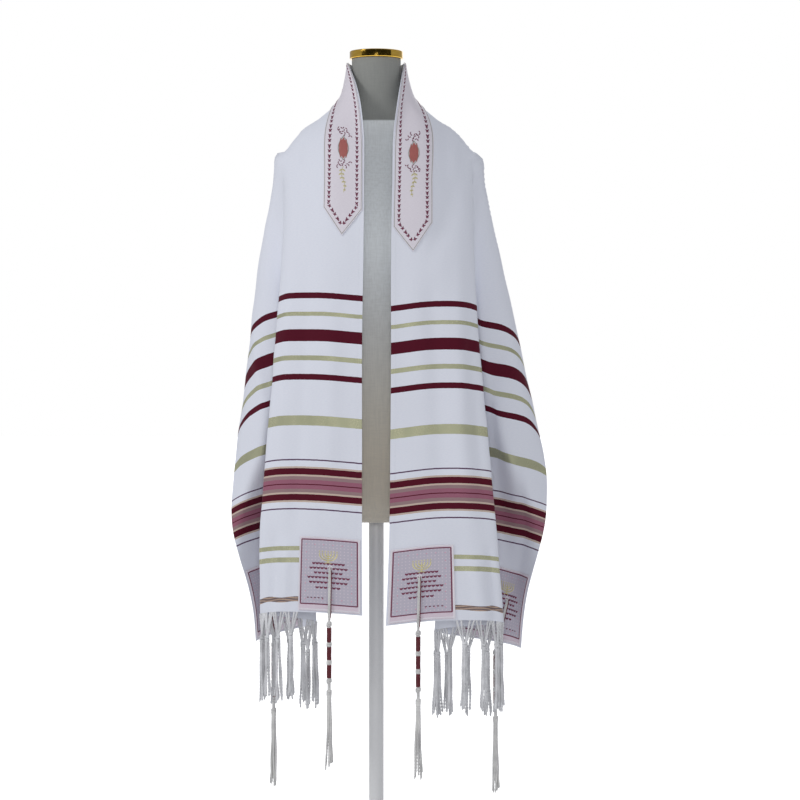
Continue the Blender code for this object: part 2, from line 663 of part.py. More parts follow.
def main():
    for item in list(bpy.data.objects):
        bpy.data.objects.remove(item)
    collection = bpy.data.collections.new("tallit_on_dress_form")
    cutters = bpy.data.collections.new("joined_strands")
    for group in (collection, cutters):
        bpy.context.scene.collection.children.link(group)
    chance = random.Random(7)
    build_cloth(collection)
    build_neckband(collection)
    build_patches(collection)
    for end in ENDS:
        build_fringe(end, collection, cutters, chance)
        for place in ("front", "rear"):
            build_tassel(end, place, collection, cutters, chance)
    build_form(collection)
    build_cylinder("neck_cap", CAP_RADIUS, TOP_HEIGHT - CAP_HEIGHT, TOP_HEIGHT, 0.0015, CAP_BRASS, collection)
    build_cylinder("stand_pole", POLE_RADIUS, BASE_THICKNESS + SEAM_GAP, FORM_BOTTOM - SEAM_GAP, 0, STAND_PAINT,
                   collection)
    build_cylinder("stand_base", BASE_RADIUS, 0, BASE_THICKNESS, 0.002, STAND_PAINT, collection)


main()
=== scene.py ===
"""The looks of the tallit and its dress form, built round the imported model. Metres, +Z up, front to -Y."""

import itertools
import math
import random
from collections import namedtuple

import bmesh
import bpy
import numpy as np
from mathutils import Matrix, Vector


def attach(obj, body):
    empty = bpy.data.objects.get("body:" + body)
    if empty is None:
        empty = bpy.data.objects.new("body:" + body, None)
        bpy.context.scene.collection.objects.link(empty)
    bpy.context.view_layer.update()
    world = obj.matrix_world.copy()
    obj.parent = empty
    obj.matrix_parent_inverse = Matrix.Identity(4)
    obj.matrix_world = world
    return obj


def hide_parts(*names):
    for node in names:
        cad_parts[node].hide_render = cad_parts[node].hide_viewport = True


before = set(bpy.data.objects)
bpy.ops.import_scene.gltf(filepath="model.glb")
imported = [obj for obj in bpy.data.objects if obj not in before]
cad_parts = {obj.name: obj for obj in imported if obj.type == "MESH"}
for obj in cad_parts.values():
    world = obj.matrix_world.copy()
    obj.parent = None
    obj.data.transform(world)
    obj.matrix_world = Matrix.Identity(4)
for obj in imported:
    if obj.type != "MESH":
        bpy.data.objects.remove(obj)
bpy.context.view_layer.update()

MM = 0.001

# The flat cloth
WIDTH = 0.450
FLAT_LENGTH = 2.065
NECK_ALONG = 0.080
SHOULDER_ACROSS = 0.137
SHOULDER_ALONG = 0.265
SHOULDER_BEND = 0.62
SHOULDER_ROUND = 0.020
ACROSS_BEND = 1.7
FREE_HANG = 0.14
SLACK_REACH = 0.14
FAN_REACH = 0.400
CURVE_SAMPLES = 400
PROBE = 0.006
# A fold line's round over the shoulder as shares of SHOULDER_ROUND, how its knots are spaced, and how far
# past its last section it runs
ROUND_OUT = 0.6
ROUND_DOWN = 0.18
KNOT_POWER = 0.7
OVERRUN = 1.1
ROUNDED_FOLDS = ("front_middle", "back_valley")
CLOTH_THICKNESS = 0.0010
CLOTH_STEP = 0.006

# Trim
CAD_CLOTH_THICKNESS = 0.0018
SEAM_GAP = 0.0003
PARTING_GAP = 0.0008
TRIM_THICKNESS = 0.0012
TRIM_LIFT = CAD_CLOTH_THICKNESS / 2 + SEAM_GAP + TRIM_THICKNESS / 2
BAND_LIFT = TRIM_LIFT + SEAM_GAP
BAND_EDGE = 0.070
BAND_POINT = 0.045
PATCH_WIDTH = 0.090
PATCH_HEIGHT = 0.120
PATCH_INSET = 0.003
EYELET_ACROSS = 0.045
EYELET_ABOVE_END = 0.074

# Fringe and tassels
FRINGE_STRIP = 0.006
LOCKS = 11
LOCK_KNOT_DROP = 0.036
LOCK_STRAND_LENGTH = 0.098
LOCK_STRANDS = 3
LOCK_YARN = 0.0016
LOCK_TWIST = 90
LOCK_FEET = (0.22, 0.44)
# A knot's turns of yarn: the radius and height of each, how many windings and points it has, the yarn's
# radius, how far apart the turns lie, and how much more each leans. Lengths are in millimetres.
Knot = namedtuple("Knot", "radius height windings steps yarn apart lean")
LOCK_KNOT = Knot(2.4, 3.6, 1.6, 20, 2.0, 4.4, 1.5)
CORE_KNOT = Knot(3.2, 2.4, 1.3, 18, 1.5, 2.6, 2.0)
TASSEL_CORE_LENGTH = 0.122
TASSEL_STRAND_LENGTH = 0.122
TASSEL_STRANDS = 8
TASSEL_TWIST = 95
LEG_TWIST = 110
STRAND_SIDES = 6
COIL_LEAN = 0.0006
LEG_RADIUS = 0.0017
LEG_CLEARANCE = {"front": 0.0004, "rear": 0.0010}

# The dress form and its stand
TOP_HEIGHT = 1.450
CAP_HEIGHT = 0.013
CAP_RADIUS = 0.0445
FORM_BOTTOM = 0.665
POLE_RADIUS = 0.0125
BASE_RADIUS = 0.160
BASE_THICKNESS = 0.008

# Sections through the hanging cloth, by height. Each row of the tables below has a column for each of them.
HEIGHTS = (1.380, 1.310, 1.220, 1.100, 0.950, 0.800, 0.650, 0.490)

# One row for each fold line. `zone` says where it starts: front and back lines drop from the shoulder line,
# and `place` is their across or along. A fan line starts at the shoulder point, and `place` is its angle on
# the flat cloth in degrees. `shift` names the row of RIGHT_SHIFTS that the wider side adds. `slack` is how
# much the cloth gives on its way over the shoulder. Then each section's x, outwards, and y, to the rear.
# Slack and sections are in millimetres.
Fold = namedtuple("Fold", "name zone place shift slack neck collar yoke bust waist hip skirt hem")
FOLDS = (
    Fold("inner_edge", "front", 0.000, "inner", 5,
         (30, -49), (20, -80), (19, -110), (20, -126), (22, -131), (22, -133), (22, -135), (21, -136)),
    Fold("front_middle", "front", 0.070, "inner", 24,
         None, (84, -58), (84, -98), (88, -118), (92, -126), (96, -130), (100, -133), (104, -134)),
    Fold("front_edge", "fan", 0.0, "panel", 30,
         None, None, (145, -52), (146, -88), (150, -106), (156, -116), (164, -121), (166, -124)),
    Fold("front_fold", "fan", 3.5, "panel", 27,
         None, None, (151, -40), (154, -76), (165, -94), (177, -103), (188, -110), (188, -112)),
    Fold("front_tuck", "fan", 13.0, "tuck", 20,
         None, None, (153, -31), (144, -48), (130, -58), (118, -60), (106, -56), (98, -48)),
    Fold("wing_hidden", "fan", 21.0, "part_wing", 13,
         None, None, (156, -23), (151, -27), (147, -28), (147, -18), (160, -4), (186, -14)),
    Fold("wing_face", "fan", 28.0, "part_wing", 6,
         None, None, (161, -14), (164, -22), (167, -36), (189, -47), (230, -48), (230, -40)),
    Fold("wing_edge", "fan", 33.0, "wing", 0,
         None, None, (166, -6), (180, -14), (192, -26), (218, -26), (255, -18), (254, -10)),
    Fold("wing_tip", "fan", 40.0, "wing", 0,
         None, None, (174, 4), (196, 6), (213, 6), (232, 6), (252, 6), (256, 6)),
    Fold("wing_back", "fan", 50.0, "wing", 0,
         None, None, (164, 24), (178, 34), (190, 42), (200, 48), (206, 52), (210, 54)),
    Fold("back_tuck", "fan", 62.0, "none", 0,
         None, None, (152, 38), (152, 46), (154, 52), (156, 56), (158, 60), (160, 64)),
    Fold("back_fold", "fan", 76.0, "none", 0,
         None, None, (144, 58), (148, 84), (158, 102), (162, 110), (164, 114), (166, 116)),
    Fold("back_side", "fan", 90.0, "none", 0,
         None, None, (126, 76), (122, 96), (118, 106), (116, 110), (116, 112), (116, 114)),
    Fold("back_valley", "back", 0.170, "none", 0,
         None, (82, 56), (84, 86), (82, 102), (78, 112), (78, 116), (78, 118), (78, 120)),
    Fold("back_ridge", "back", 0.080, "none", 0,
         (49, 28), (52, 60), (48, 96), (46, 118), (46, 132), (46, 138), (46, 140), (46, 142)),
    Fold("centre_back", "back", 0.000, "none", 0,
         (0, 58), (0, 72), (0, 96), (0, 110), (0, 118), (0, 122), (0, 124), (0, 126)),
)

# How much further out the wider side's folds stand at each section, in millimetres
RIGHT_SHIFTS = {
    "none": (0, 0, 0, 0, 0, 0, 0, 0),
    "inner": (8, 9, 8, 5, 3, 2, 0, -5),
    "panel": (8, 8, 9, 7, 5, 6, 9, 21),
    "tuck": (0, 0, 6, 2, 0, 0, 0, 0),
    "part_wing": (0, 4, 8, 10, 16, 26, 42, 40),
    "wing": (0, 4, 9, 13, 29, 42, 52, 46),
}

# The line over the shoulder, from the neck's side to the shoulder point: share of its length, x, y, height
ShoulderPoint = namedtuple("ShoulderPoint", "share x y z")
SHOULDER_LINE = (
    ShoulderPoint(0.00, 0.0470, 0.000, 1.432),
    ShoulderPoint(0.20, 0.0560, 0.002, 1.378),
    ShoulderPoint(0.45, 0.0900, 0.002, 1.342),
    ShoulderPoint(0.72, 0.1240, 0.001, 1.318),
    ShoulderPoint(1.00, 0.1530, 0.000, 1.283),
)
NAPE_BACK = 0.052
NAPE_HEIGHT = 1.428

# Each end of the cloth: its sign along and in x, half the cloth's length, the band's length to its corners,
# and how much further out the shoulder point lies
End = namedtuple("End", "name sign half_length band_length shoulder_shift shifts")
LEFT = End("left", 1, 1.025, 0.365, 0.000, False)
RIGHT = End("right", -1, 1.040, 0.392, 0.009, True)
ENDS = (LEFT, RIGHT)

# Rings of the form: height, half width, half depth, centre's y
Ring = namedtuple("Ring", "z width depth centre")
FORM_RINGS = (
    Ring(FORM_BOTTOM, 0.100, 0.070, 0.006),
    Ring(FORM_BOTTOM + 0.012, 0.112, 0.080, 0.006),
    Ring(0.730, 0.121, 0.087, 0.005),
    Ring(0.800, 0.120, 0.087, 0.003),
    Ring(0.880, 0.108, 0.078, -0.003),
    Ring(0.960, 0.096, 0.070, -0.008),
    Ring(1.030, 0.102, 0.074, -0.012),
    Ring(1.110, 0.118, 0.084, -0.014),
    Ring(1.180, 0.128, 0.078, -0.006),
    Ring(1.230, 0.138, 0.064, 0.000),
    Ring(1.262, 0.143, 0.050, 0.001),
    Ring(1.283, 0.1485, 0.040, 0.001),
    Ring(1.300, 0.130, 0.036, 0.001),
    Ring(1.318, 0.109, 0.034, 0.001),
    Ring(1.342, 0.077, 0.031, 0.000),
    Ring(1.360, 0.052, 0.033, -0.001),
    Ring(1.385, 0.0435, 0.037, 0.000),
    Ring(1.410, 0.0415, 0.0395, 0.000),
    Ring(TOP_HEIGHT - CAP_HEIGHT - SEAM_GAP, 0.0415, 0.0415, 0.000),
)


def spline(knots, values, at):
    """A smooth curve through `values` at the rising `knots`, read at `at`, and straight beyond both ends.

    `values` holds a point for each knot, or a point for each knot and each reading.
    """
    knots, values, at = np.asarray(knots), np.asarray(values), np.asarray(at)
    steps = np.diff(knots).reshape((-1,) + (1,) * (values.ndim - 1))
    slopes = np.diff(values, axis=0) / steps
    inner = (slopes[:-1] * steps[1:] + slopes[1:] * steps[:-1]) / (steps[:-1] + steps[1:])
    tangents = np.concatenate([slopes[:1], inner, slopes[-1:]])
    i = np.clip(np.searchsorted(knots, at, side="right") - 1, 0, len(knots) - 2)
    here = (i, np.arange(len(at))) if values.ndim == 3 else (i,)
    there = (i + 1, *here[1:])
    inside = np.clip(at, knots[0], knots[-1])
    step = (knots[i + 1] - knots[i])[:, None]
    t, beyond = (inside - knots[i])[:, None] / step, (at - inside)[:, None]
    return (
        (2 * t**3 - 3 * t**2 + 1) * values[here]
        + (t**3 - 2 * t**2 + t) * step * tangents[here]
        + (3 * t**2 - 2 * t**3) * values[there]
        + (t**3 - t**2) * step * tangents[there]
        + beyond * np.where(beyond < 0, tangents[here], tangents[there])
    )


def run_along(points, power=1.0):
    """The lengths along a route of points, from 0. A power below 1 counts its long steps for less."""
    return np.concatenate([[0], np.cumsum(np.linalg.norm(np.diff(points, axis=0), axis=1) ** power)])


def spread(across, along):
    """The two flat coordinates as arrays of one shape."""
    return np.broadcast_arrays(np.asarray(across, float), np.asarray(along, float))


def shoulder_share(along):
    """How far down the shoulder line the cloth's line at `along` crosses it, which bends near the neck."""
    return np.clip((along - NECK_ALONG) / (SHOULDER_ALONG - NECK_ALONG), 0, 1) ** (1 / SHOULDER_BEND)


def shoulder_crossing(share):
    """The flat cloth's along at this share of the shoulder line. It undoes shoulder_share."""
    return NECK_ALONG + (SHOULDER_ALONG - NECK_ALONG) * share**SHOULDER_BEND


def across_share(across):
    """How far down the shoulder line the cloth's line at `across` meets it, which bunches near the neck."""
    return np.clip(across / SHOULDER_ACROSS, 0, 1) ** ACROSS_BEND


def across_of(share):
    """The flat cloth's across at this share of the shoulder line. It undoes across_share."""
    return SHOULDER_ACROSS * share ** (1 / ACROSS_BEND)


def eased(share):
    """A smooth step from 0 to 1."""
    share = np.clip(share, 0, 1)
    return share * share * (3 - 2 * share)


def fan_knot(angle):
    """A fan line's place in the row of folds, by its angle in radians."""
    return SHOULDER_ACROSS + FAN_REACH * angle


def back_knot(along):
    """A back line's place in the row of folds."""
    return fan_knot(math.pi / 2) + SHOULDER_ALONG - along


class Drape:
    """Where one side of the hanging cloth lies. x is outwards here, for both sides."""

    def __init__(self, end):
        self.end = end
        self.shoulder_point = self.shoulder(np.array([1.0]))[0]
        self.knots, self.leads, self.starts = zip(*[self.plan(fold) for fold in FOLDS])
        self.curves = [self.curve_of(fold, start) for fold, start in zip(FOLDS, self.starts)]

    def plan(self, fold):
        """A fold line's place in the row of folds, how much longer it is than one from the shoulder point at
        the same level of cloth, and where it starts.
        """
        if fold.zone == "fan":
            return fan_knot(math.radians(fold.place)), 0.0, self.shoulder_point
        if fold.zone == "front":
            share = across_share(fold.place)
            return fold.place, SHOULDER_ALONG - shoulder_crossing(share), self.shoulder(np.array([share]))[0]
        lead = SHOULDER_ACROSS - across_of(shoulder_share(fold.place))
        return back_knot(fold.place), lead, self.back_start(np.array([fold.place]))[0]

    def shoulder(self, share):
        """Points of the shoulder line."""
        rows = np.array([(row.x, row.y, row.z) for row in SHOULDER_LINE])
        rows[:, 0] += self.end.shoulder_shift * np.array([row.share for row in SHOULDER_LINE])
        return spline([row.share for row in SHOULDER_LINE], rows, share)

    def back_start(self, along):
        """Where the cloth behind starts: on the nape, or past the neck's side on the shoulder line."""
        turn = np.clip(along / NECK_ALONG, 0, 1) * math.pi / 2
        side = SHOULDER_LINE[0]
        nape = np.stack([
            side.x * np.sin(turn),
            side.y + (NAPE_BACK - side.y) * np.cos(turn),
            side.z + (NAPE_HEIGHT - side.z) * np.cos(turn),
        ], axis=1)
        return np.where((along < NECK_ALONG)[:, None], nape, self.shoulder(shoulder_share(along)))

    def curve_of(self, fold, start):
        """The fold line's points, as drops from its start, at even lengths down it."""
        points = [start]
        shifts = RIGHT_SHIFTS[fold.shift] if self.end.shifts else RIGHT_SHIFTS["none"]
        for height, section, shift in zip(HEIGHTS, fold[5:], shifts):
            if section is not None:
                points.append(np.array([(section[0] + shift) * MM, section[1] * MM, height]))
        if fold.zone == "fan" or fold.name in ROUNDED_FOLDS:
            level = points[1] - start
            level[2] = 0
            reach = SHOULDER_ROUND * level / np.linalg.norm(level)
            points.insert(1, start + ROUND_OUT * reach + np.array([0, 0, -ROUND_DOWN * SHOULDER_ROUND]))
        knots = run_along(points, KNOT_POWER)
        fine = spline(knots, points, np.linspace(0, knots[-1] * OVERRUN, CURVE_SAMPLES))
        lengths = run_along(fine)
        return lengths - fold.slack * MM * eased(lengths / SLACK_REACH), fine - start

    def offsets(self, drops):
        """For each fold line, where it is at these lengths down it, from its start."""
        return np.stack([
            np.stack([np.interp(drop, lengths, offsets[:, axis]) for axis in range(3)], axis=1)
            for drop, (lengths, offsets) in zip(drops, self.curves)
        ])

    def place(self, across, along):
        """Points of the cloth's middle surface, for flat points on this side."""
        across, along = spread(across, along)
        out, down = across - SHOULDER_ACROSS, along - SHOULDER_ALONG
        fan = (out >= 0) & (down >= 0)
        ridge = across_of(shoulder_share(along))
        front = ~fan & (across < ridge)
        share = across_share(np.where(front, across, 0))
        start = np.where(fan[:, None], self.shoulder_point, self.back_start(along))
        start = np.where(front[:, None], self.shoulder(share), start)
        level = np.where(fan, np.hypot(out, down), np.where(front, down, out))
        drop = np.where(fan, level, np.where(front, along - shoulder_crossing(share), across - ridge))
        angle = np.arctan2(np.where(fan, out, 1), np.where(fan, down, 1))
        knot = np.where(front, across, np.where(fan, fan_knot(angle), back_knot(along)))
        near = start + spline(self.knots, self.offsets([drop] * len(FOLDS)), knot)
        hanging = self.offsets([level + lead for lead in self.leads]) + np.array(self.starts)[:, None, :]
        free = spline(self.knots, hanging, knot)
        return near + (free - near) * eased(drop / FREE_HANG)[:, None]


DRAPES = {end.sign: Drape(end) for end in ENDS}


def cloth_points(across, along):
    """Points of the cloth's middle surface in the part's frame. The wearer's right side lies at -x."""
    across, along = spread(across, along)
    flat_across, flat_along = across.ravel(), along.ravel()
    points = np.empty((flat_across.size, 3))
    for sign, drape in DRAPES.items():
        mine = (flat_along >= 0) == (sign > 0)
        if mine.any():
            points[mine] = drape.place(flat_across[mine], np.abs(flat_along[mine])) * (-sign, 1, 1)
    return points.reshape(across.shape + (3,))


def cloth_normals(across, along):
    """The cloth's outward directions, read over a small stretch so that they are smooth."""
    across, along = spread(across, along)
    over = cloth_points(across + PROBE, along) - cloth_points(np.maximum(across - PROBE, 0), along)
    down = cloth_points(across, along + PROBE) - cloth_points(across, along - PROBE)
    normals = np.cross(over, down)
    return normals / np.linalg.norm(normals, axis=-1, keepdims=True)


# Soft creases pressed and pulled into each end, placed on the flat cloth, in millimetres. The places
# are across and along, `reach` is half the width of the trough or ridge, and a trough's depth is negative.
Crease = namedtuple("Crease", "name across along to_across to_along reach depth")
CREASES = {
    "left": (
        Crease("shoulder_pull", 130, 262, 72, 410, 16, -2.0),
        Crease("neck_pull", 82, 205, 92, 380, 11, -1.4),
        Crease("panel_ridge", 46, 440, 50, 880, 14, 1.2),
        Crease("panel_trough", 92, 390, 104, 960, 15, -1.8),
        Crease("panel_edge_ridge", 128, 450, 140, 830, 11, 1.4),
        Crease("patch_pull", 96, 790, 40, 885, 8, -1.1),
        Crease("hem_flute", 114, 900, 120, 1030, 9, 2.0),
        Crease("hem_trough", 136, 880, 140, 1030, 9, -1.6),
        Crease("wing_pull", 190, 330, 290, 640, 13, -1.8),
        Crease("wing_trough", 285, 520, 352, 900, 14, -2.2),
        Crease("wing_ridge", 318, 470, 392, 830, 12, 1.8),
        Crease("wing_low_trough", 372, 730, 410, 990, 11, -1.7),
        Crease("rear_trough", 360, 300, 430, 620, 13, -2.0),
        Crease("back_trough", 110, 120, 445, 112, 14, -2.2),
        Crease("back_ridge", 160, 60, 450, 64, 13, 1.6),
        Crease("back_side_trough", 190, 205, 450, 222, 14, -2.0),
        Crease("nape_pull", 66, 90, 180, 160, 12, -1.5),
    ),
    "right": (
        Crease("shoulder_pull", 134, 266, 60, 470, 15, -1.7),
        Crease("neck_pull", 80, 190, 98, 350, 12, -1.5),
        Crease("panel_trough", 66, 430, 78, 900, 17, -1.6),
        Crease("panel_ridge", 112, 380, 118, 960, 14, 1.5),
        Crease("panel_edge_trough", 136, 520, 146, 860, 10, -1.2),
        Crease("patch_pull", 30, 800, 88, 880, 9, -1.0),
        Crease("hem_flute", 122, 930, 130, 1050, 10, 2.2),
        Crease("hem_trough", 150, 910, 152, 1050, 9, -1.8),
        Crease("wing_pull", 180, 340, 270, 600, 14, -1.6),
        Crease("wing_trough", 300, 500, 372, 860, 15, -2.4),
        Crease("wing_ridge", 270, 560, 330, 930, 13, 1.6),
        Crease("wing_low_trough", 390, 700, 425, 960, 10, -1.5),
        Crease("rear_trough", 350, 310, 432, 560, 14, -1.8),
        Crease("back_trough", 120, 30, 450, 22, 15, -2.0),
        Crease("back_ridge", 140, 100, 450, 110, 13, 1.8),
        Crease("back_side_trough", 200, 165, 450, 178, 14, -2.2),
        Crease("nape_pull", 70, 85, 190, 140, 12, -1.3),
    ),
}
CREASE_HEIGHT = 2.0
CREASE_FADE = 0.35
CREASE_START = 0.15
HEM_WIDTH = 0.0075
HEM_RISE = 0.00035
HEM_STEP = 0.002

# Slow unevenness all over: waves across and along in turns a metre, their phase, and their height
Ripple = namedtuple("Ripple", "across along phase height")
RIPPLES = (
    Ripple(13.0, 4.1, 0.4, 0.00030),
    Ripple(-9.0, 7.3, 2.1, 0.00026),
    Ripple(21.0, 2.3, 4.0, 0.00018),
    Ripple(5.0, 15.1, 1.2, 0.00016),
)


def relief(across, along):
    """How far the cloth stands out from its plain drape, in metres."""
    rise = np.zeros(across.shape)
    for ripple in RIPPLES:
        turns = ripple.across * across + ripple.along * along
        rise += ripple.height * np.sin(math.tau * turns + ripple.phase)
    for end, crease in [(end, crease) for end in ENDS for crease in CREASES[end.name]]:
        run = np.array([crease.to_across - crease.across, crease.to_along - crease.along])
        length = np.linalg.norm(run)
        past = (across / MM - crease.across, along / MM * end.sign - crease.along)
        share = (past[0] * run[0] + past[1] * run[1]) / length**2
        beside = (past[0] * run[1] - past[1] * run[0]) / length
        fade = eased(share / CREASE_FADE + CREASE_START) * eased((1 - share) / CREASE_FADE + CREASE_START)
        rise += CREASE_HEIGHT * crease.depth * MM * np.exp(-(beside / crease.reach) ** 2) * fade
    return rise


def surface(across, along, lift):
    """Points at `lift` above the middle of the creased cloth."""
    across, along = spread(across, along)
    rise = relief(across, along) + lift
    return cloth_points(across, along) + cloth_normals(across, along) * rise[..., None]


def put(name, data):
    """A new object in the scene."""
    item = bpy.data.objects.new(name, data)
    bpy.context.scene.collection.objects.link(item)
    return item


def face_out(mesh):
    work = bmesh.new()
    work.from_mesh(mesh)
    bmesh.ops.recalc_face_normals(work, faces=work.faces)
    work.to_mesh(mesh)
    work.free()


def new_piece(name, vertices, faces, material, uv=None, sharp=50):
    """A mesh object that rides on the part's one body. `uv` holds a pair for each vertex."""
    mesh = bpy.data.meshes.new(name)
    mesh.from_pydata(np.asarray(vertices, float).reshape(-1, 3).tolist(), [], faces)
    if uv is not None:
        corners = np.empty(len(mesh.loops), int)
        mesh.loops.foreach_get("vertex_index", corners)
        layer = mesh.uv_layers.new(name="flat")
        layer.data.foreach_set("uv", np.asarray(uv, float)[corners].astype(np.float32).ravel())
    face_out(mesh)
    mesh.materials.append(material)
    mesh.shade_smooth()
    mesh.set_sharp_from_angle(angle=math.radians(sharp))
    item = put(name, mesh)
    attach(item, "root")
    return item


def sheet_faces(rows, columns):
    """Quads of a closed thin wall: an outer and an inner layer of rows by columns points, and the rim."""
    count = rows * columns
    corner = np.arange(count).reshape(rows, columns)
    quads = np.stack([corner[:-1, :-1], corner[1:, :-1], corner[1:, 1:], corner[:-1, 1:]], axis=-1)
    outer = quads.reshape(-1, 4)
    rim = np.concatenate([corner[0, :], corner[1:, -1], corner[-1, -2::-1], corner[-2:0:-1, 0]])
    ahead = np.roll(rim, -1)
    sides = np.stack([rim, ahead, ahead + count, rim + count], axis=1)
    return np.concatenate([outer, outer[:, ::-1] + count, sides]).tolist()


def ring_faces(rows, sides, first=0):
    """Quads between rings of `sides` points, from the point `first` on, and a cap at both ends."""
    corner = first + np.arange(rows * sides).reshape(rows, sides)
    ahead = np.roll(corner, -1, axis=1)
    quads = np.stack([corner[:-1], ahead[:-1], ahead[1:], corner[1:]], axis=-1).reshape(-1, 4)
    return quads.tolist() + [corner[0, ::-1].tolist(), corner[-1].tolist()]


def sheet_piece(name, across, along, lift, thickness, material, uv=None):
    """A thin cloth piece on a grid of flat points. Its UV is across and how far the fringed end is."""
    middle = surface(across, along, lift)
    wall = cloth_normals(across, along) * thickness / 2
    vertices = np.concatenate([(middle + wall).reshape(-1, 3), (middle - wall).reshape(-1, 3)])
    if uv is None:
        half = np.where(along >= 0, LEFT.half_length, RIGHT.half_length)
        uv = np.stack([across, half - np.abs(along)], axis=-1)
    uv = np.tile(uv.reshape(-1, 2), (2, 1))
    return new_piece(name, vertices, sheet_faces(*across.shape), material, uv)


Route = namedtuple("Route", "points radii sides twist")
# A direction that no strand runs in, which its rings are turned from, and how far two plies swell out
ASIDE = (0.03, 1, 0.02)
PLY_SWELL = 0.22


def tube_piece(name, routes, material):
    """One piece of many closed tubes. `twist` is turns a metre of two-ply yarn, or 0 for a round tube."""
    vertices, faces, uv = [], [], []
    count = 0
    for route in routes:
        points = np.asarray(route.points, float)
        radii = np.broadcast_to(np.asarray(route.radii, float), len(points))[:, None]
        heading = np.gradient(points, axis=0)
        heading /= np.linalg.norm(heading, axis=1, keepdims=True)
        side = np.cross(heading, ASIDE)
        side /= np.linalg.norm(side, axis=1, keepdims=True)
        other = np.cross(heading, side)
        run = run_along(points)[:, None]
        turns = np.arange(route.sides)[None, :] / route.sides * math.tau
        swell = PLY_SWELL if route.twist else 0
        reach = (radii * (1 + swell * np.cos(2 * (turns - math.tau * route.twist * run))))[..., None]
        around = side[:, None] * np.cos(turns)[..., None] + other[:, None] * np.sin(turns)[..., None]
        vertices.append((points[:, None] + reach * around).reshape(-1, 3))
        faces += ring_faces(len(points), route.sides, count)
        uv.append(np.stack(np.broadcast_arrays(turns / math.tau, run), axis=-1).reshape(-1, 2))
        count += len(points) * route.sides
    return new_piece(name, np.concatenate(vertices), faces, material, np.concatenate(uv), 80)


def turned_piece(name, profile, sides, material):
    """A piece turned about the upright axis. The profile is radius and height, bottom to top."""
    turns = np.arange(sides) / sides * math.tau
    vertices = [(r * math.cos(t), r * math.sin(t), z) for r, z in profile for t in turns]
    height = np.repeat([z for _, z in profile], sides)
    uv = np.stack([np.tile(turns / math.tau, len(profile)), height], axis=1)
    return new_piece(name, vertices, ring_faces(len(profile), sides), material, uv, 35)


def linear(red, green, blue):
    """A colour as the eye reads it, 0 to 255, as the linear value that shaders take."""
    share = np.array([red, green, blue]) / 255
    return tuple(np.where(share <= 0.04045, share / 12.92, ((share + 0.055) / 1.055) ** 2.4)) + (1.0,)


class Surface:
    """One material: its Principled shader and the nodes that feed it."""

    def __init__(self, name, colour, roughness, metallic=0.0, sheen=0.0):
        self.material = bpy.data.materials.new(name)
        self.material.use_nodes = True
        self.nodes = self.material.node_tree.nodes
        self.links = self.material.node_tree.links
        self.shader = self.nodes["Principled BSDF"]
        self.shader.inputs["Base Color"].default_value = colour
        self.shader.inputs["Roughness"].default_value = roughness
        self.shader.inputs["Metallic"].default_value = metallic
        self.shader.inputs["Sheen Weight"].default_value = sheen
        self.shader.inputs["Sheen Roughness"].default_value = 0.4
        self.material.diffuse_color = colour
        self.heights = []

    def set(self, socket, value):
        if isinstance(value, bpy.types.NodeSocket):
            self.links.new(value, socket)
        else:
            socket.default_value = value

    def math(self, operation, *values):
        node = self.nodes.new("ShaderNodeMath")
        node.operation = operation
        for socket, value in zip(node.inputs, values):
            self.set(socket, value)
        return node.outputs[0]

    def mix(self, share, low, high):
        node = self.nodes.new("ShaderNodeMix")
        node.data_type = "RGBA"
        self.set(node.inputs[0], share)
        self.set(node.inputs[6], low)
        self.set(node.inputs[7], high)
        return node.outputs[2]

    def place(self, source="UV"):
        """The numbers of a coordinate, in metres. The first two of a cloth piece's UV are flat places."""
        node = self.nodes.new("ShaderNodeSeparateXYZ")
        self.links.new(self.nodes.new("ShaderNodeTexCoord").outputs[source], node.inputs[0])
        return node.outputs

    def noise(self, scale, stretch=(1, 1, 1), detail=2.0, source="UV"):
        """Noise from 0 to 1, with `scale` features a metre, more along an axis with a larger stretch."""
        mapping = self.nodes.new("ShaderNodeMapping")
        self.links.new(self.nodes.new("ShaderNodeTexCoord").outputs[source], mapping.inputs["Vector"])
        mapping.inputs["Scale"].default_value = stretch
        node = self.nodes.new("ShaderNodeTexNoise")
        node.inputs["Scale"].default_value = scale
        node.inputs["Detail"].default_value = detail
        self.links.new(mapping.outputs[0], node.inputs["Vector"])
        return node.outputs[0]

    def ramp(self, value, low, high):
        node = self.nodes.new("ShaderNodeMapRange")
        node.interpolation_type = "SMOOTHSTEP"
        self.set(node.inputs["Value"], value)
        node.inputs["From Min"].default_value = low
        node.inputs["From Max"].default_value = high
        return node.outputs[0]

    def wave(self, value, pitch):
        """Ridges from 0 to 1, one each `pitch` metres."""
        turn = self.math("SINE", self.math("MULTIPLY", value, math.tau / pitch))
        return self.math("MULTIPLY_ADD", turn, 0.5, 0.5)

    def colour(self, value):
        self.set(self.shader.inputs["Base Color"], value)

    def raise_by(self, height, distance):
        """Adds bump: `height` from 0 to 1 stands `distance` metres proud."""
        node = self.nodes.new("ShaderNodeBump")
        node.inputs["Strength"].default_value = 1.0
        node.inputs["Distance"].default_value = distance
        self.set(node.inputs["Height"], height)
        if self.heights:
            self.links.new(self.heights[-1], node.inputs["Normal"])
        self.heights.append(node.outputs[0])
        self.links.new(node.outputs[0], self.shader.inputs["Normal"])


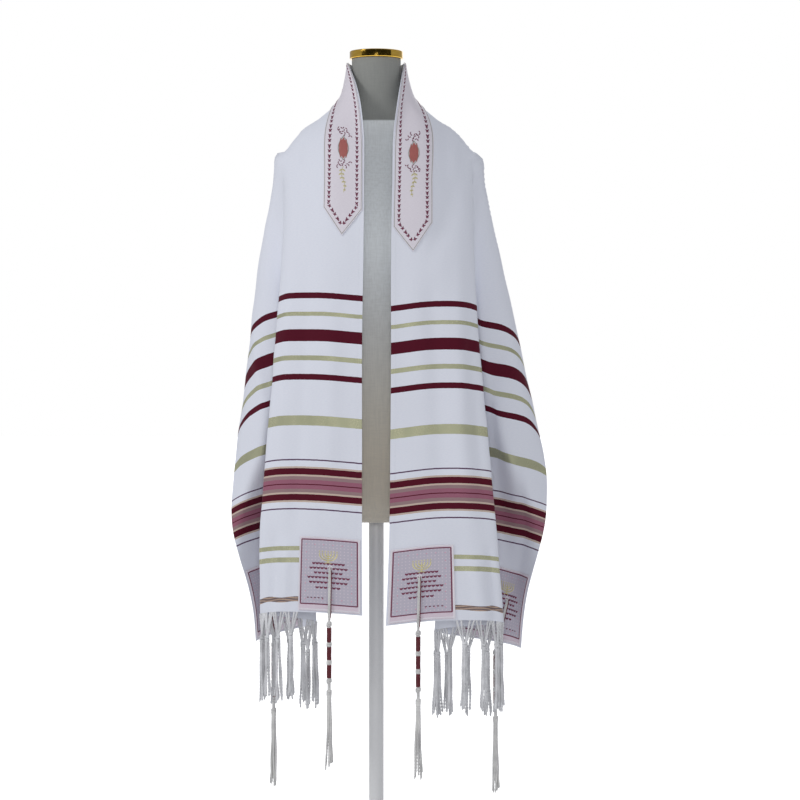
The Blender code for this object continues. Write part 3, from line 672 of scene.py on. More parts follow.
# Woven stripes, by the distance of their middle from the fringed end and their width, both in millimetres
Stripe = namedtuple("Stripe", "thread middle width")
STRIPES = (
    Stripe("maroon", 515.0, 9.6),
    Stripe("gold", 485.0, 6.6),
    Stripe("maroon", 450.0, 19.5),
    Stripe("gold", 413.0, 8.0),
    Stripe("maroon", 382.0, 9.6),
    Stripe("gold", 311.0, 16.0),
    Stripe("violet", 247.0, 2.2),
    Stripe("beige", 207.0, 58.0),
    Stripe("maroon", 228.0, 10.2),
    Stripe("grey_mauve", 207.0, 26.0),
    Stripe("mauve", 207.0, 15.0),
    Stripe("maroon", 207.0, 1.6),
    Stripe("maroon", 186.0, 10.2),
    Stripe("violet", 167.0, 2.2),
    Stripe("gold", 103.0, 7.0),
    Stripe("gold", 84.0, 8.0),
)
STRIPE_WAVER = 0.0004
GOLD_SHINE = 0.35
CLOTH_ROUGHNESS = 0.78
# The wavy bronze ribbon: its middle and width in millimetres, and in metres the length and height of its
# waves and the pitch of its strands
RIBBON_MIDDLE = 20.0
RIBBON_WIDTH = 8.0
RIBBON_WAVE = 0.055
RIBBON_SWING = 0.0011
RIBBON_STRAND = 0.0045
HEM_STITCH = 0.0032
THREADS = {
    "maroon": linear(68, 0, 22),
    "gold": linear(172, 172, 144),
    "violet": linear(92, 62, 92),
    "beige": linear(206, 186, 172),
    "grey_mauve": linear(140, 116, 118),
    "mauve": linear(146, 84, 108),
}
LIGHT_THREADS = {
    "mauve": linear(168, 112, 128),
    "grey_mauve": linear(168, 138, 140),
    "maroon": linear(92, 4, 34),
}


def woven_cloth():
    """The shawl: a smooth white weave with maroon, gold, violet and mauve stripes woven in."""
    s = Surface("woven_cloth", linear(236, 238, 247), CLOTH_ROUGHNESS, sheen=0.06)
    s.shader.inputs["Specular IOR Level"].default_value = 0.2
    across, distance, _ = s.place()
    unevenness = s.noise(120.0, (1, 0.2, 1))
    distance = s.math("MULTIPLY_ADD", unevenness, 2 * STRIPE_WAVER, distance)
    distance = s.math("SUBTRACT", distance, STRIPE_WAVER)
    slub = s.noise(900.0, (0.25, 1, 1))
    threads = s.noise(2600.0, (1, 0.12, 1))
    flecks = s.ramp(s.noise(620.0, (1, 1.6, 1), 3.0), 0.50, 0.62)
    patches = s.ramp(s.noise(30.0, (1, 0.3, 1)), 0.42, 0.62)
    shade = s.mix(slub, linear(228, 231, 243), linear(241, 243, 250))
    gold = s.mix(s.math("MULTIPLY", flecks, patches), THREADS["gold"], linear(220, 217, 178))
    gold = s.mix(s.math("MULTIPLY", threads, 0.5), gold, linear(148, 148, 116))
    colours = dict(THREADS, gold=gold)
    for name, light in LIGHT_THREADS.items():
        colours[name] = s.mix(threads, THREADS[name], light)
    metal = 0.0
    between = s.math("COMPARE", across, WIDTH / 2, WIDTH / 2 - PATCH_INSET - PATCH_WIDTH / 2)
    for stripe in STRIPES:
        inside = s.math("COMPARE", distance, stripe.middle * MM, stripe.width / 2 * MM)
        if stripe.middle * MM < PATCH_HEIGHT:
            inside = s.math("MULTIPLY", inside, between)
        shade = s.mix(inside, shade, colours[stripe.thread])
        if stripe.thread == "gold":
            metal = s.math("MAXIMUM", metal, inside)
    drift = s.math("SINE", s.math("MULTIPLY", across, math.tau / RIBBON_WAVE))
    level = s.math("MULTIPLY_ADD", drift, RIBBON_SWING, distance)
    ribbon = s.math("COMPARE", level, RIBBON_MIDDLE * MM, RIBBON_WIDTH / 2 * MM)
    ribbon = s.math("MULTIPLY", between, ribbon)
    strand = s.wave(s.math("MULTIPLY_ADD", drift, -2 * RIBBON_SWING, level), RIBBON_STRAND)
    bronze = s.mix(strand, linear(96, 84, 88), linear(176, 152, 136))
    s.colour(s.mix(ribbon, shade, bronze))
    shine = s.math("MAXIMUM", metal, ribbon)
    s.set(s.shader.inputs["Metallic"], s.math("MULTIPLY", shine, GOLD_SHINE))
    s.set(s.shader.inputs["Roughness"], s.math("MULTIPLY_ADD", shine, -0.34, CLOTH_ROUGHNESS))
    s.raise_by(slub, 0.00010)
    s.raise_by(s.math("MULTIPLY", flecks, shine), 0.00020)
    edge = s.math("COMPARE", across, HEM_WIDTH, 0.0005)
    s.raise_by(s.math("MULTIPLY", edge, s.wave(distance, HEM_STITCH)), 0.00025)
    return s.material


# The pitch of the patches' dotted damask and of the yarns' ply, and the heights between which the form's
# cover turns from its warmer lower colour to the paler one painted over the chest as light
DAMASK_PITCH = 0.0052
PLY_PITCH = 0.0042
PAINTED_LIGHT_LOW = 0.74
PAINTED_LIGHT_HIGH = 1.12
NECK_BLEND = 0.002


def satin(name, colour, shade):
    """A close satin weave with faint threads across."""
    s = Surface(name, colour, 0.55, sheen=0.2)
    threads = s.noise(1400.0, (0.15, 1, 1))
    s.colour(s.mix(threads, colour, shade))
    s.raise_by(threads, 0.00008)
    return s.material


def patch_satin():
    """Corner patch cloth: a greyer field inside a pinkish white border, with a faint dotted damask."""
    s = Surface("patch_satin", linear(216, 200, 212), 0.6, sheen=0.2)
    across, down, _ = s.place()
    wide = s.math("COMPARE", across, PATCH_WIDTH / 2, PATCH_WIDTH / 2 - BORDER_SIDE)
    tall = s.math("COMPARE", down, (PATCH_HEIGHT + BORDER_TOP - BORDER_BOTTOM) / 2,
                  (PATCH_HEIGHT - BORDER_TOP - BORDER_BOTTOM) / 2)
    field = s.math("MULTIPLY", wide, tall)
    dots = s.math("MULTIPLY", s.wave(across, DAMASK_PITCH), s.wave(down, DAMASK_PITCH))
    dots = s.ramp(dots, 0.62, 0.80)
    inner = s.mix(dots, linear(190, 184, 198), linear(214, 204, 214))
    threads = s.noise(1200.0, (0.2, 1, 1))
    outer = s.mix(threads, linear(206, 186, 202), linear(234, 222, 230))
    s.colour(s.mix(field, outer, inner))
    s.raise_by(threads, 0.00010)
    s.raise_by(s.math("MULTIPLY", dots, field), 0.00012)
    return s.material


def thread(name, dark, light, roughness=0.6, metallic=0.0):
    """Embroidery or winding thread with its twist showing as fine light and dark."""
    s = Surface(name, dark, roughness, metallic, sheen=0.15)
    grain = s.noise(1500.0, source="Object")
    s.colour(s.mix(grain, dark, light))
    s.raise_by(grain, 0.00012)
    return s.material


def yarn(name, dark, light):
    """Soft cotton yarn: its ply runs round it, and it is a little uneven in tone."""
    s = Surface(name, light, 0.85, sheen=0.3)
    around, run, _ = s.place()
    ply = s.wave(s.math("MULTIPLY_ADD", around, PLY_PITCH, run), PLY_PITCH)
    tone = s.noise(45.0, source="Object")
    fuzz = s.noise(2200.0, source="Object")
    tone = s.math("MULTIPLY_ADD", fuzz, 0.35, s.math("MULTIPLY", tone, 0.65))
    s.colour(s.mix(s.ramp(tone, 0.32, 0.68), dark, light))
    s.raise_by(ply, 0.00025)
    s.raise_by(fuzz, 0.00010)
    return s.material


def linen():
    """The form's cover: a plain weave, warmer lower down, painted paler over the chest as light falling
    there, and greyer on the neck.
    """
    s = Surface("cover_linen", linear(206, 210, 208), 0.9, sheen=0.1)
    upright = s.noise(420.0, (1, 1, 0.05), 3.0, "Object")
    level = s.noise(420.0, (0.15, 0.15, 1), 3.0, "Object")
    tone = s.noise(7.0, (1, 1, 0.4), 2.0, "Object")
    weave = s.math("MULTIPLY_ADD", upright, 0.6, s.math("MULTIPLY", level, 0.4))
    height = s.place("Object")[2]
    # Painted light: the cover turns from its warmer lower colour to near white over the chest, standing in
    # for the light that reaches it between the panels.
    chest = s.mix(s.ramp(height, PAINTED_LIGHT_LOW, PAINTED_LIGHT_HIGH), linear(226, 217, 199), linear(250, 254, 255))
    above = s.ramp(height, NECK_SEAM - NECK_BLEND, NECK_SEAM + NECK_BLEND / 2)
    cloth = s.mix(above, chest, linear(138, 140, 137))
    cloth = s.mix(s.math("MULTIPLY", s.ramp(weave, 0.36, 0.64), 0.16), cloth, linear(166, 166, 160))
    s.colour(s.mix(s.math("MULTIPLY", tone, 0.14), cloth, linear(204, 200, 188)))
    s.raise_by(weave, 0.00030)
    return s.material


def brass():
    s = Surface("polished_brass", linear(222, 178, 70), 0.12, 1.0)
    swirl = s.noise(60.0, (1, 1, 6), 3.0, "Object")
    s.set(s.shader.inputs["Roughness"], s.math("MULTIPLY_ADD", swirl, 0.08, 0.05))
    s.colour(s.mix(swirl, linear(196, 148, 44), linear(232, 196, 96)))
    return s.material


def paint():
    s = Surface("stand_enamel", linear(222, 222, 222), 0.38)
    grain = s.noise(700.0, detail=3.0, source="Object")
    s.colour(s.mix(grain, linear(214, 214, 215), linear(230, 230, 230)))
    s.set(s.shader.inputs["Roughness"], s.math("MULTIPLY_ADD", grain, 0.15, 0.30))
    s.raise_by(grain, 0.00004)
    return s.material


# Stitches: how high they stand, how far apart a line's points lie, and a leaf's length, width and height
STITCH_HEIGHT = 0.0006
STITCH_STEP = 0.004
TRIM_SHEET = 0.0008
Leaf = namedtuple("Leaf", "length width height")

# Patch design, measured down and across from the patch's top corner
BORDER_SIDE = 0.0038
BORDER_TOP = 0.0046
BORDER_BOTTOM = 0.0110
BORDER_LINE = 0.0020
SPRIG_PITCH = 0.0052
LAMP_MIDDLE = 0.0300
LAMP_REACH = 0.0042
LAMP_LINE = 0.0018
LAMP_STEM = 0.011
LAMP_FOOT = 0.005
LAMP_FOOT_DROP = 0.0015
BOWL_DEPTH = 0.8
FLAME = Leaf(0.0034, 0.0020, STITCH_HEIGHT)
FLAME_DROP = 0.0008
SPRIG_SIZE = 0.0048
SMALL_SPRIG_SIZE = 0.0028
SPRIG_TURN = 0.55
DOT_INSET = 0.0118
DOT_PITCH = 0.0130
DOT_RADIUS = 0.0009
CORD_INSET = 0.0012
CORD_FOOT_INSET = 0.0020
CORD_WIDTH = 0.0024
EYELET_RADIUS = 0.0030
EYELET_WIDTH = 0.0018
# Rows of small leaf sprigs: how far down, how wide, and how far aside
SprigRow = namedtuple("SprigRow", "down width shift")
SPRIG_ROWS = (
    SprigRow(0.0450, 0.042, 0),
    SprigRow(0.0525, 0.050, 0),
    SprigRow(0.0600, 0.036, 0),
    SprigRow(0.0675, 0.056, 0),
    SprigRow(0.0755, 0.050, 0),
    SprigRow(0.0840, 0.030, 0),
    SprigRow(0.1000, 0.022, 0.018),
)

# Band design: the border's inset from both edges and its pitch, the seam's inset, and where each end's
# rosette and sprig lie along
BAND_MIDDLE = (PATCH_INSET + BAND_EDGE) / 2
BAND_BORDER = 0.0095
BORDER_PITCH = 0.0080
BAND_SEAM = 0.0016
ROSETTES = {"left": 0.262, "right": 0.270}
SPRIGS = {"left": (0.292, 0.338), "right": (0.300, 0.346)}
BORDER_LEAF = Leaf(0.0076, 0.0029, STITCH_HEIGHT)
BORDER_LEAF_ASIDE = 0.0030
BORDER_LEAF_TURN = 0.75
BORDER_BUD = Leaf(0.0040, 0.0024, STITCH_HEIGHT)
PETAL = Leaf(0.0330, 0.0100, 0.0010)
PETAL_START = 0.0170
PETAL_TURN = 0.16
ROSETTE_RIM = (0.0090, 0.0190)
CURL = Leaf(0.0046, 0.0019, STITCH_HEIGHT)
CURLS = 9
CURL_PITCH = 0.0030
STEM_SWING = 0.0030
LEAF_TURN = 0.9


class Embroidery:
    """Raised stitches on the cloth. Shapes are drawn flat, and `place` turns them into across and along."""

    def __init__(self, place=lambda u, v: (u, v)):
        self.place = place
        self.points, self.heights, self.faces = [], [], []

    def add(self, points, heights, faces):
        first = len(self.points)
        self.points += [self.place(*point) for point in points]
        self.heights += list(heights)
        self.faces += [[first + corner for corner in face] for face in faces]

    def leaf(self, start, angle, shape, steps=4):
        """A pointed leaf from `start`, its direction measured from the way that v runs."""
        ahead = np.array([math.sin(angle), math.cos(angle)])
        beside = np.array([ahead[1], -ahead[0]])
        points = [np.array(start)]
        for share in np.linspace(0, 1, steps + 1)[1:-1]:
            middle = start + ahead * shape.length * share
            reach = beside * shape.width / 2 * math.sin(math.pi * share)
            points += [middle - reach, middle, middle + reach]
        points.append(start + ahead * shape.length)
        heights = [0] + [0, shape.height, 0] * (steps - 1) + [0]
        last = len(points) - 1
        tips = [[0, 1, 2], [0, 2, 3], [last - 3, last, last - 2], [last - 2, last, last - 1]]
        self.add(points, heights, tips + self.ribbon_faces(steps - 1, 1))

    def disc(self, centre, radius, sides=10):
        points = [centre, *circle(centre, radius, sides)]
        faces = [[0, 1 + i, 1 + (i + 1) % sides] for i in range(sides)]
        self.add(points, [STITCH_HEIGHT] + [0] * sides, faces)

    def stroke(self, route, width, height=STITCH_HEIGHT):
        """A satin-stitched line along a route of flat points."""
        route = np.array(route, float)
        run = np.gradient(route, axis=0)
        run /= np.maximum(np.linalg.norm(run, axis=1, keepdims=True), 1e-9)
        beside = np.stack([run[:, 1], -run[:, 0]], axis=1) * width / 2
        points = np.stack([route - beside, route, route + beside], axis=1).reshape(-1, 2)
        self.add(points.tolist(), [0, height, 0] * len(route), self.ribbon_faces(len(route)))

    @staticmethod
    def ribbon_faces(rows, first=0):
        """Two quads from each row of three points to the next."""
        lows = range(first, first + 3 * (rows - 1), 3)
        return [[side, side + 3, side + 4, side + 1] for low in lows for side in (low, low + 1)]

    def piece(self, name, lift, material):
        flat = np.array(self.points)
        vertices = surface(flat[:, 0], flat[:, 1], lift + np.array(self.heights))
        return new_piece(name, vertices, self.faces, material, flat, 60)


def circle(centre, radius, sides):
    """Flat points round a centre, the first not repeated."""
    turns = np.arange(sides) / sides * math.tau
    return [(centre[0] + radius * math.cos(t), centre[1] + radius * math.sin(t)) for t in turns]


def steps_between(start, end, step):
    """Flat points from start to end, about `step` apart."""
    start, end = np.array(start, float), np.array(end, float)
    count = max(int(round(np.linalg.norm(end - start) / step)), 1)
    return [tuple(start + (end - start) * share) for share in np.linspace(0, 1, count + 1)]


def steps_through(corners, step):
    """Flat points along the straight runs between corners, about `step` apart, to the last corner."""
    runs = [steps_between(start, stop, step)[:-1] for start, stop in zip(corners[:-1], corners[1:])]
    return [*itertools.chain(*runs), corners[-1]]


def build_shawl(material):
    across = np.linspace(0, WIDTH, int(WIDTH / CLOTH_STEP) + 1)
    along = np.linspace(-RIGHT.half_length, LEFT.half_length, int(FLAT_LENGTH / CLOTH_STEP) + 1)
    grid = np.meshgrid(across, along, indexing="ij")
    near_edge = np.minimum(grid[0], WIDTH - grid[0])
    hem = HEM_RISE * eased((HEM_WIDTH - near_edge) / HEM_STEP + 0.5)
    shawl = sheet_piece("shawl", *grid, hem, CLOTH_THICKNESS, material)
    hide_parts("back_panel", "left_end", "right_end")
    return shawl


def band_border(end, inset):
    """The line `inset` from the band's edge, from the nape to the point, on its inner and outer side."""
    slope = np.array([BAND_MIDDLE - PATCH_INSET, BAND_POINT])
    slope /= np.linalg.norm(slope)
    corner = end.band_length - inset * (1 - slope[0]) / slope[1]
    tip = end.band_length + BAND_POINT - inset / slope[0]
    sides = []
    for edge, inwards in ((PATCH_INSET, 1), (BAND_EDGE, -1)):
        line = edge + inwards * inset
        sides.append([(line, 0.0), (line, end.sign * corner), (BAND_MIDDLE, end.sign * tip)])
    return sides


def stitch_band_border(end, border, seams):
    """Leaf pairs along both edges of one end of the band, with a bud at every other pair, and the seam."""
    for side in band_border(end, BAND_BORDER):
        marks = steps_through(side, BORDER_PITCH)
        for i, (here, there) in enumerate(zip(marks, marks[1:])):
            heading = math.atan2(there[0] - here[0], there[1] - here[1])
            aside = np.array([math.cos(heading), -math.sin(heading)]) * BORDER_LEAF_ASIDE
            for way in (-1, 1):
                border.leaf(np.array(here) + aside * way, heading - way * BORDER_LEAF_TURN, BORDER_LEAF)
            if i % 2:
                border.leaf(here, heading + math.pi, BORDER_BUD)
    for side in band_border(end, BAND_SEAM):
        seams.stroke(steps_through(side, STITCH_STEP), 0.0009, STITCH_HEIGHT / 2)


def stitch_rosette(end, border, flowers, seams):
    """An oval flower in its rim, with curls of small leaves before and behind it."""
    across, along = BAND_MIDDLE, end.sign * ROSETTES[end.name]
    for turn, way in itertools.product((-PETAL_TURN, PETAL_TURN), (0, math.pi)):
        flowers.leaf((across, along - PETAL_START * math.cos(way)), way + turn, PETAL, 8)
    half_width, half_length = ROSETTE_RIM
    for way in (-1, 1):
        seams.stroke([(across + half_width * way * math.sin(math.pi * s), along + half_length * (1 - 2 * s))
                      for s in np.linspace(0, 1, 13)], 0.0012, 0.0008)
        for i in range(CURLS):
            reach = 0.0215 + 0.0042 * (i % 3)
            spot = (across + CURL_PITCH * (i - CURLS // 2), along + way * reach)
            for turn in (-LEAF_TURN, LEAF_TURN):
                border.leaf(spot, turn + 0.6 * i, CURL)


def stitch_sprig(end, sprigs):
    """A wavy stem with pairs of leaves that shorten towards its tip."""
    low, high = SPRIGS[end.name]
    stem = [(BAND_MIDDLE + STEM_SWING * math.sin(6 * s), end.sign * (low + (high - low) * s))
            for s in np.linspace(0, 1, 20)]
    sprigs.stroke(stem, 0.0009)
    ahead = 0 if end.sign > 0 else math.pi
    for i, way in itertools.product(range(2, 18, 3), (-1, 1)):
        shape = Leaf(0.0078 - 0.0003 * i, 0.0030, STITCH_HEIGHT)
        sprigs.leaf(stem[i], ahead + end.sign * way * LEAF_TURN, shape)


def build_band(cloth, plum, rose, gold, seam):
    across = np.linspace(PATCH_INSET, BAND_EDGE, 23)
    point = BAND_POINT * (1 - np.abs(across - BAND_MIDDLE) / (BAND_EDGE - BAND_MIDDLE))
    shares = np.linspace(-1, 1, 271)
    grid_across = np.repeat(across[:, None], len(shares), axis=1)
    reach = np.where(shares[None, :] >= 0, LEFT.band_length, RIGHT.band_length) + point[:, None]
    band = sheet_piece("collar_band", grid_across, shares[None, :] * reach, BAND_LIFT, TRIM_SHEET, cloth)
    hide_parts("neckband")
    border, flowers, sprigs, seams = (Embroidery() for _ in range(4))
    for end in ENDS:
        stitch_band_border(end, border, seams)
        stitch_rosette(end, border, flowers, seams)
        stitch_sprig(end, sprigs)
    face = BAND_LIFT + TRIM_SHEET / 2
    pieces = [
        border.piece("band_border_stitches", face, plum),
        flowers.piece("band_rosettes", face, rose),
        sprigs.piece("band_sprigs", face, gold),
        seams.piece("band_seam", face, seam),
    ]
    return [band, *pieces]


def patch_place(end, place):
    """Turns a patch's own u across and v down into the flat cloth's across and along."""
    low = PATCH_INSET if place == "front" else WIDTH - PATCH_INSET - PATCH_WIDTH
    top = end.half_length - PATCH_INSET - PATCH_HEIGHT
    return lambda u, v: (low + u, end.sign * (top + v))


def stitch_lamp(lamp):
    """A plain seven-branched lamp: three nested bowls, a stem, a foot and seven flames."""
    middle, cups = PATCH_WIDTH / 2, LAMP_MIDDLE - LAMP_REACH
    base = LAMP_MIDDLE + LAMP_STEM
    lamp.stroke([(middle, cups), (middle, base)], LAMP_LINE)
    foot = [(middle + LAMP_FOOT * way, base + LAMP_FOOT_DROP * abs(way)) for way in (-1, 0, 1)]
    lamp.stroke(foot, LAMP_LINE)
    for branch in (1, 2, 3):
        reach = branch * LAMP_REACH
        turns = np.linspace(math.pi, 0, 6 + 4 * branch)
        bowl = [(middle + reach * math.cos(t),
                 LAMP_MIDDLE - LAMP_REACH / 2 + reach * BOWL_DEPTH * math.sin(t)) for t in turns]
        lamp.stroke([(middle - reach, cups), *bowl, (middle + reach, cups)], LAMP_LINE)
    for branch in range(-3, 4):
        lamp.leaf((middle + branch * LAMP_REACH, cups - FLAME_DROP), math.pi, FLAME)


def stitch_sprig_rows(lines):
    for row in SPRIG_ROWS:
        count = int(row.width / SPRIG_PITCH)
        size = SMALL_SPRIG_SIZE if row.shift else SPRIG_SIZE
        for i in range(count + 1):
            spot = (PATCH_WIDTH / 2 + row.shift + row.width * (i / count - 0.5), row.down)
            for turn in (-SPRIG_TURN, 0.0, SPRIG_TURN):
                lines.leaf(spot, math.pi + turn, Leaf(size if turn else 0.8 * size, size / 2, STITCH_HEIGHT))


def build_patch(end, place, cloth, plum, pink, gold, white):
    to_flat = patch_place(end, place)
    u, v = np.meshgrid(np.linspace(0, PATCH_WIDTH, 31), np.linspace(0, PATCH_HEIGHT, 41), indexing="ij")
    name = f"{end.name}_{place}"
    uv = np.stack([u, v], axis=-1)
    patch = sheet_piece(f"patch_{name}_cloth", *to_flat(u, v), TRIM_LIFT, TRIM_SHEET, cloth, uv)
    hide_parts(f"patch_{name}")
    lines, dots, lamp, cord = (Embroidery(to_flat) for _ in range(4))
    left, right = BORDER_SIDE, PATCH_WIDTH - BORDER_SIDE
    top, bottom = BORDER_TOP, PATCH_HEIGHT - BORDER_BOTTOM
    corners = [(left, top), (right, top), (right, bottom), (left, bottom), (left, top)]
    for start, stop in zip(corners[:-1], corners[1:]):
        lines.stroke(steps_between(start, stop, STITCH_STEP), BORDER_LINE)
    stitch_sprig_rows(lines)
    stitch_lamp(lamp)
    left, right = DOT_INSET, PATCH_WIDTH - DOT_INSET
    top, bottom = top + DOT_INSET - BORDER_SIDE, bottom - DOT_INSET + BORDER_SIDE
    for across, _ in steps_between((left, top), (right, top), DOT_PITCH):
        dots.disc((across, top), DOT_RADIUS)
        dots.disc((across, bottom), DOT_RADIUS)
    for _, down in steps_between((left, top), (left, bottom), DOT_PITCH)[1:-1]:
        dots.disc((left, down), DOT_RADIUS)
        dots.disc((right, down), DOT_RADIUS)
    for side in (CORD_INSET, PATCH_WIDTH - CORD_INSET):
        cord.stroke(steps_between((side, 0), (side, PATCH_HEIGHT), STITCH_STEP), CORD_WIDTH, 0.0007)
    for level in (CORD_INSET, PATCH_HEIGHT - CORD_FOOT_INSET):
        cord.stroke(steps_between((0, level), (PATCH_WIDTH, level), STITCH_STEP), CORD_WIDTH, 0.0007)
    eyelet = (EYELET_ACROSS - PATCH_INSET, PATCH_HEIGHT + PATCH_INSET - EYELET_ABOVE_END)
    if place == "rear":
        eyelet = (PATCH_WIDTH - eyelet[0], eyelet[1])
    ring = circle(eyelet, EYELET_RADIUS, 16)
    cord.stroke(ring + ring[:1], EYELET_WIDTH, 0.0008)
    face = TRIM_LIFT + TRIM_SHEET / 2
    pieces = [
        lines.piece(f"patch_{name}_plum", face, plum),
        dots.piece(f"patch_{name}_dots", face, pink),
        lamp.piece(f"patch_{name}_lamp", face, gold),
        cord.piece(f"patch_{name}_edge", face, white),
    ]
    return [patch, *pieces]


def hang(start, length, sway, steps, wobble, phase):
    """A strand that hangs down from `start`, drifts by `sway` at its tip and wanders a little on the way."""
    shares = np.linspace(0, 1, steps + 1)
    wander = wobble * shares * (np.sin(shares * 7 + phase), np.sin(shares * 5 + 2 * phase), 0 * shares)
    return start + np.outer(shares**1.5, (*sway, 0)) + np.outer(shares, [0, 0, -length]) + wander.T


def cut_strand(path, radius, twist):
    """A strand of two-ply yarn that thins at its cut end."""
    radii = np.full(len(path), radius)
    radii[-2:] = (0.85 * radius, 0.45 * radius)
    return Route(path, radii, STRAND_SIDES, twist)


def bent(points, steps):
    """A smooth route through a few points."""
    knots = run_along(points)
    return spline(knots, points, np.linspace(0, knots[-1], steps + 1))


def coil(centre, radius, height, turns, steps, tilt=0.0):
    """A winding about the upright axis, from the top down."""
    shares = np.linspace(0, 1, steps + 1)
    angle = math.tau * turns * shares + tilt
    drop = height * (0.5 - shares) + tilt * COIL_LEAN * np.sin(angle)
    return centre + np.stack([radius * np.cos(angle), radius * np.sin(angle), drop], axis=1)


def knot_routes(centre, knot, turns):
    """Turns of yarn from just above the centre down."""
    routes = []
    for i in range(turns):
        spot = centre + (0, 0, knot.apart * (0.5 - i) * MM)
        path = coil(spot, knot.radius * MM, knot.height * MM, knot.windings, knot.steps, knot.lean * i)
        routes.append(Route(path, knot.yarn * MM, STRAND_SIDES, 0))
    return routes


def strip_point(end, across, down=0.6):
    """A point in the middle of the strip that the fringe hangs from."""
    along = end.sign * (end.half_length + PARTING_GAP + FRINGE_STRIP * down)
    return cloth_points(np.array([across]), np.array([along]))[0]


def lock_routes(end, middle, pitch, chance, detail):
    """One lock: its feet on the woven edge, the knot that gathers them, and its free strands."""
    drift = (chance.uniform(-3, 3) * MM, chance.uniform(-2, 2) * MM, -LOCK_KNOT_DROP)
    knot = strip_point(end, middle) + drift
    knot[2] += chance.uniform(-5, 5) * MM
    routes = []
    for side, part in itertools.product((-1, 1), LOCK_FEET):
        foot = strip_point(end, middle + side * part * pitch, -0.1)
        bend = (foot + knot) / 2 + (side * 0.4 * MM, detail.uniform(-1, 1) * MM, -2 * MM)
        gather = knot + (side * 0.6 * MM, 0, -2 * MM)
        routes.append(Route(bent([foot, bend, gather], 16), LOCK_YARN, STRAND_SIDES, LOCK_TWIST))
    routes += knot_routes(knot, LOCK_KNOT, 2)
    for turn in range(LOCK_STRANDS):
        angle = math.tau * (turn + chance.random() * 0.3) / LOCK_STRANDS
        outwards = np.array([math.cos(angle), math.sin(angle), 0])
        length = LOCK_STRAND_LENGTH + chance.uniform(-9, 6) * MM
        sway = outwards[:2] * chance.uniform(1.5, 4) * MM
        for part in (0, 1):
            aside = np.array([detail.uniform(-1.6, 1.6), detail.uniform(-1.6, 1.6)]) * MM
            start = knot + outwards * (1.6 + part) * MM + (0, 0, -3 * MM)
            reach = length - detail.uniform(0, 9) * MM * part
            path = hang(start, reach, sway + aside, 58, detail.uniform(0.5, 1.7) * MM, detail.uniform(0, 6))
            routes.append(cut_strand(path, LOCK_YARN, LOCK_TWIST))
    return routes


def build_fringe(end, chance, cotton):
    """Knotted locks on the woven edge between the corner patches. `chance` draws as the model's own does."""
    low, high = PATCH_INSET + PATCH_WIDTH, WIDTH - PATCH_INSET - PATCH_WIDTH
    pitch = (high - low) / LOCKS
    detail = random.Random(21 + end.sign)
    locks = [lock_routes(end, low + (i + 0.5) * pitch, pitch, chance, detail) for i in range(LOCKS)]
    fringe = tube_piece(f"fringe_{end.name}_yarn", itertools.chain(*locks), cotton)
    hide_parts(f"fringe_{end.name}")
    return fringe


# The tassel's wound core, in shares of its length: the ends of each dark winding, and each white knot's
# place and turns
WINDINGS = ((0.09, 0.28), (0.345, 0.52), (0.585, 0.76))
KNOTS = ((0.045, 2), (0.312, 2), (0.552, 2), (0.795, 2), (0.945, 3))
# Its strings from the eyelet: how far aside in millimetres, whether white, and their radius in millimetres
Leg = namedtuple("Leg", "aside white radius")
LEGS = (Leg(-1.1, True, 1.25), Leg(0.9, True, 1.15), Leg(2.4, False, 0.85))
CORE_RADIUS = 0.0027
WIRE_RADIUS = 0.0007
WIRE_PITCH = 0.00130
WIRE_SIDES = 5
WIRE_STEPS = 9
CORE_SIDES = 8
CORE_STEPS = 60
WOUND_RADIUS = CORE_RADIUS + 0.0008
UNDER_WIRE_RADIUS = CORE_RADIUS + 0.0006
TASSEL_YARN = 0.0014


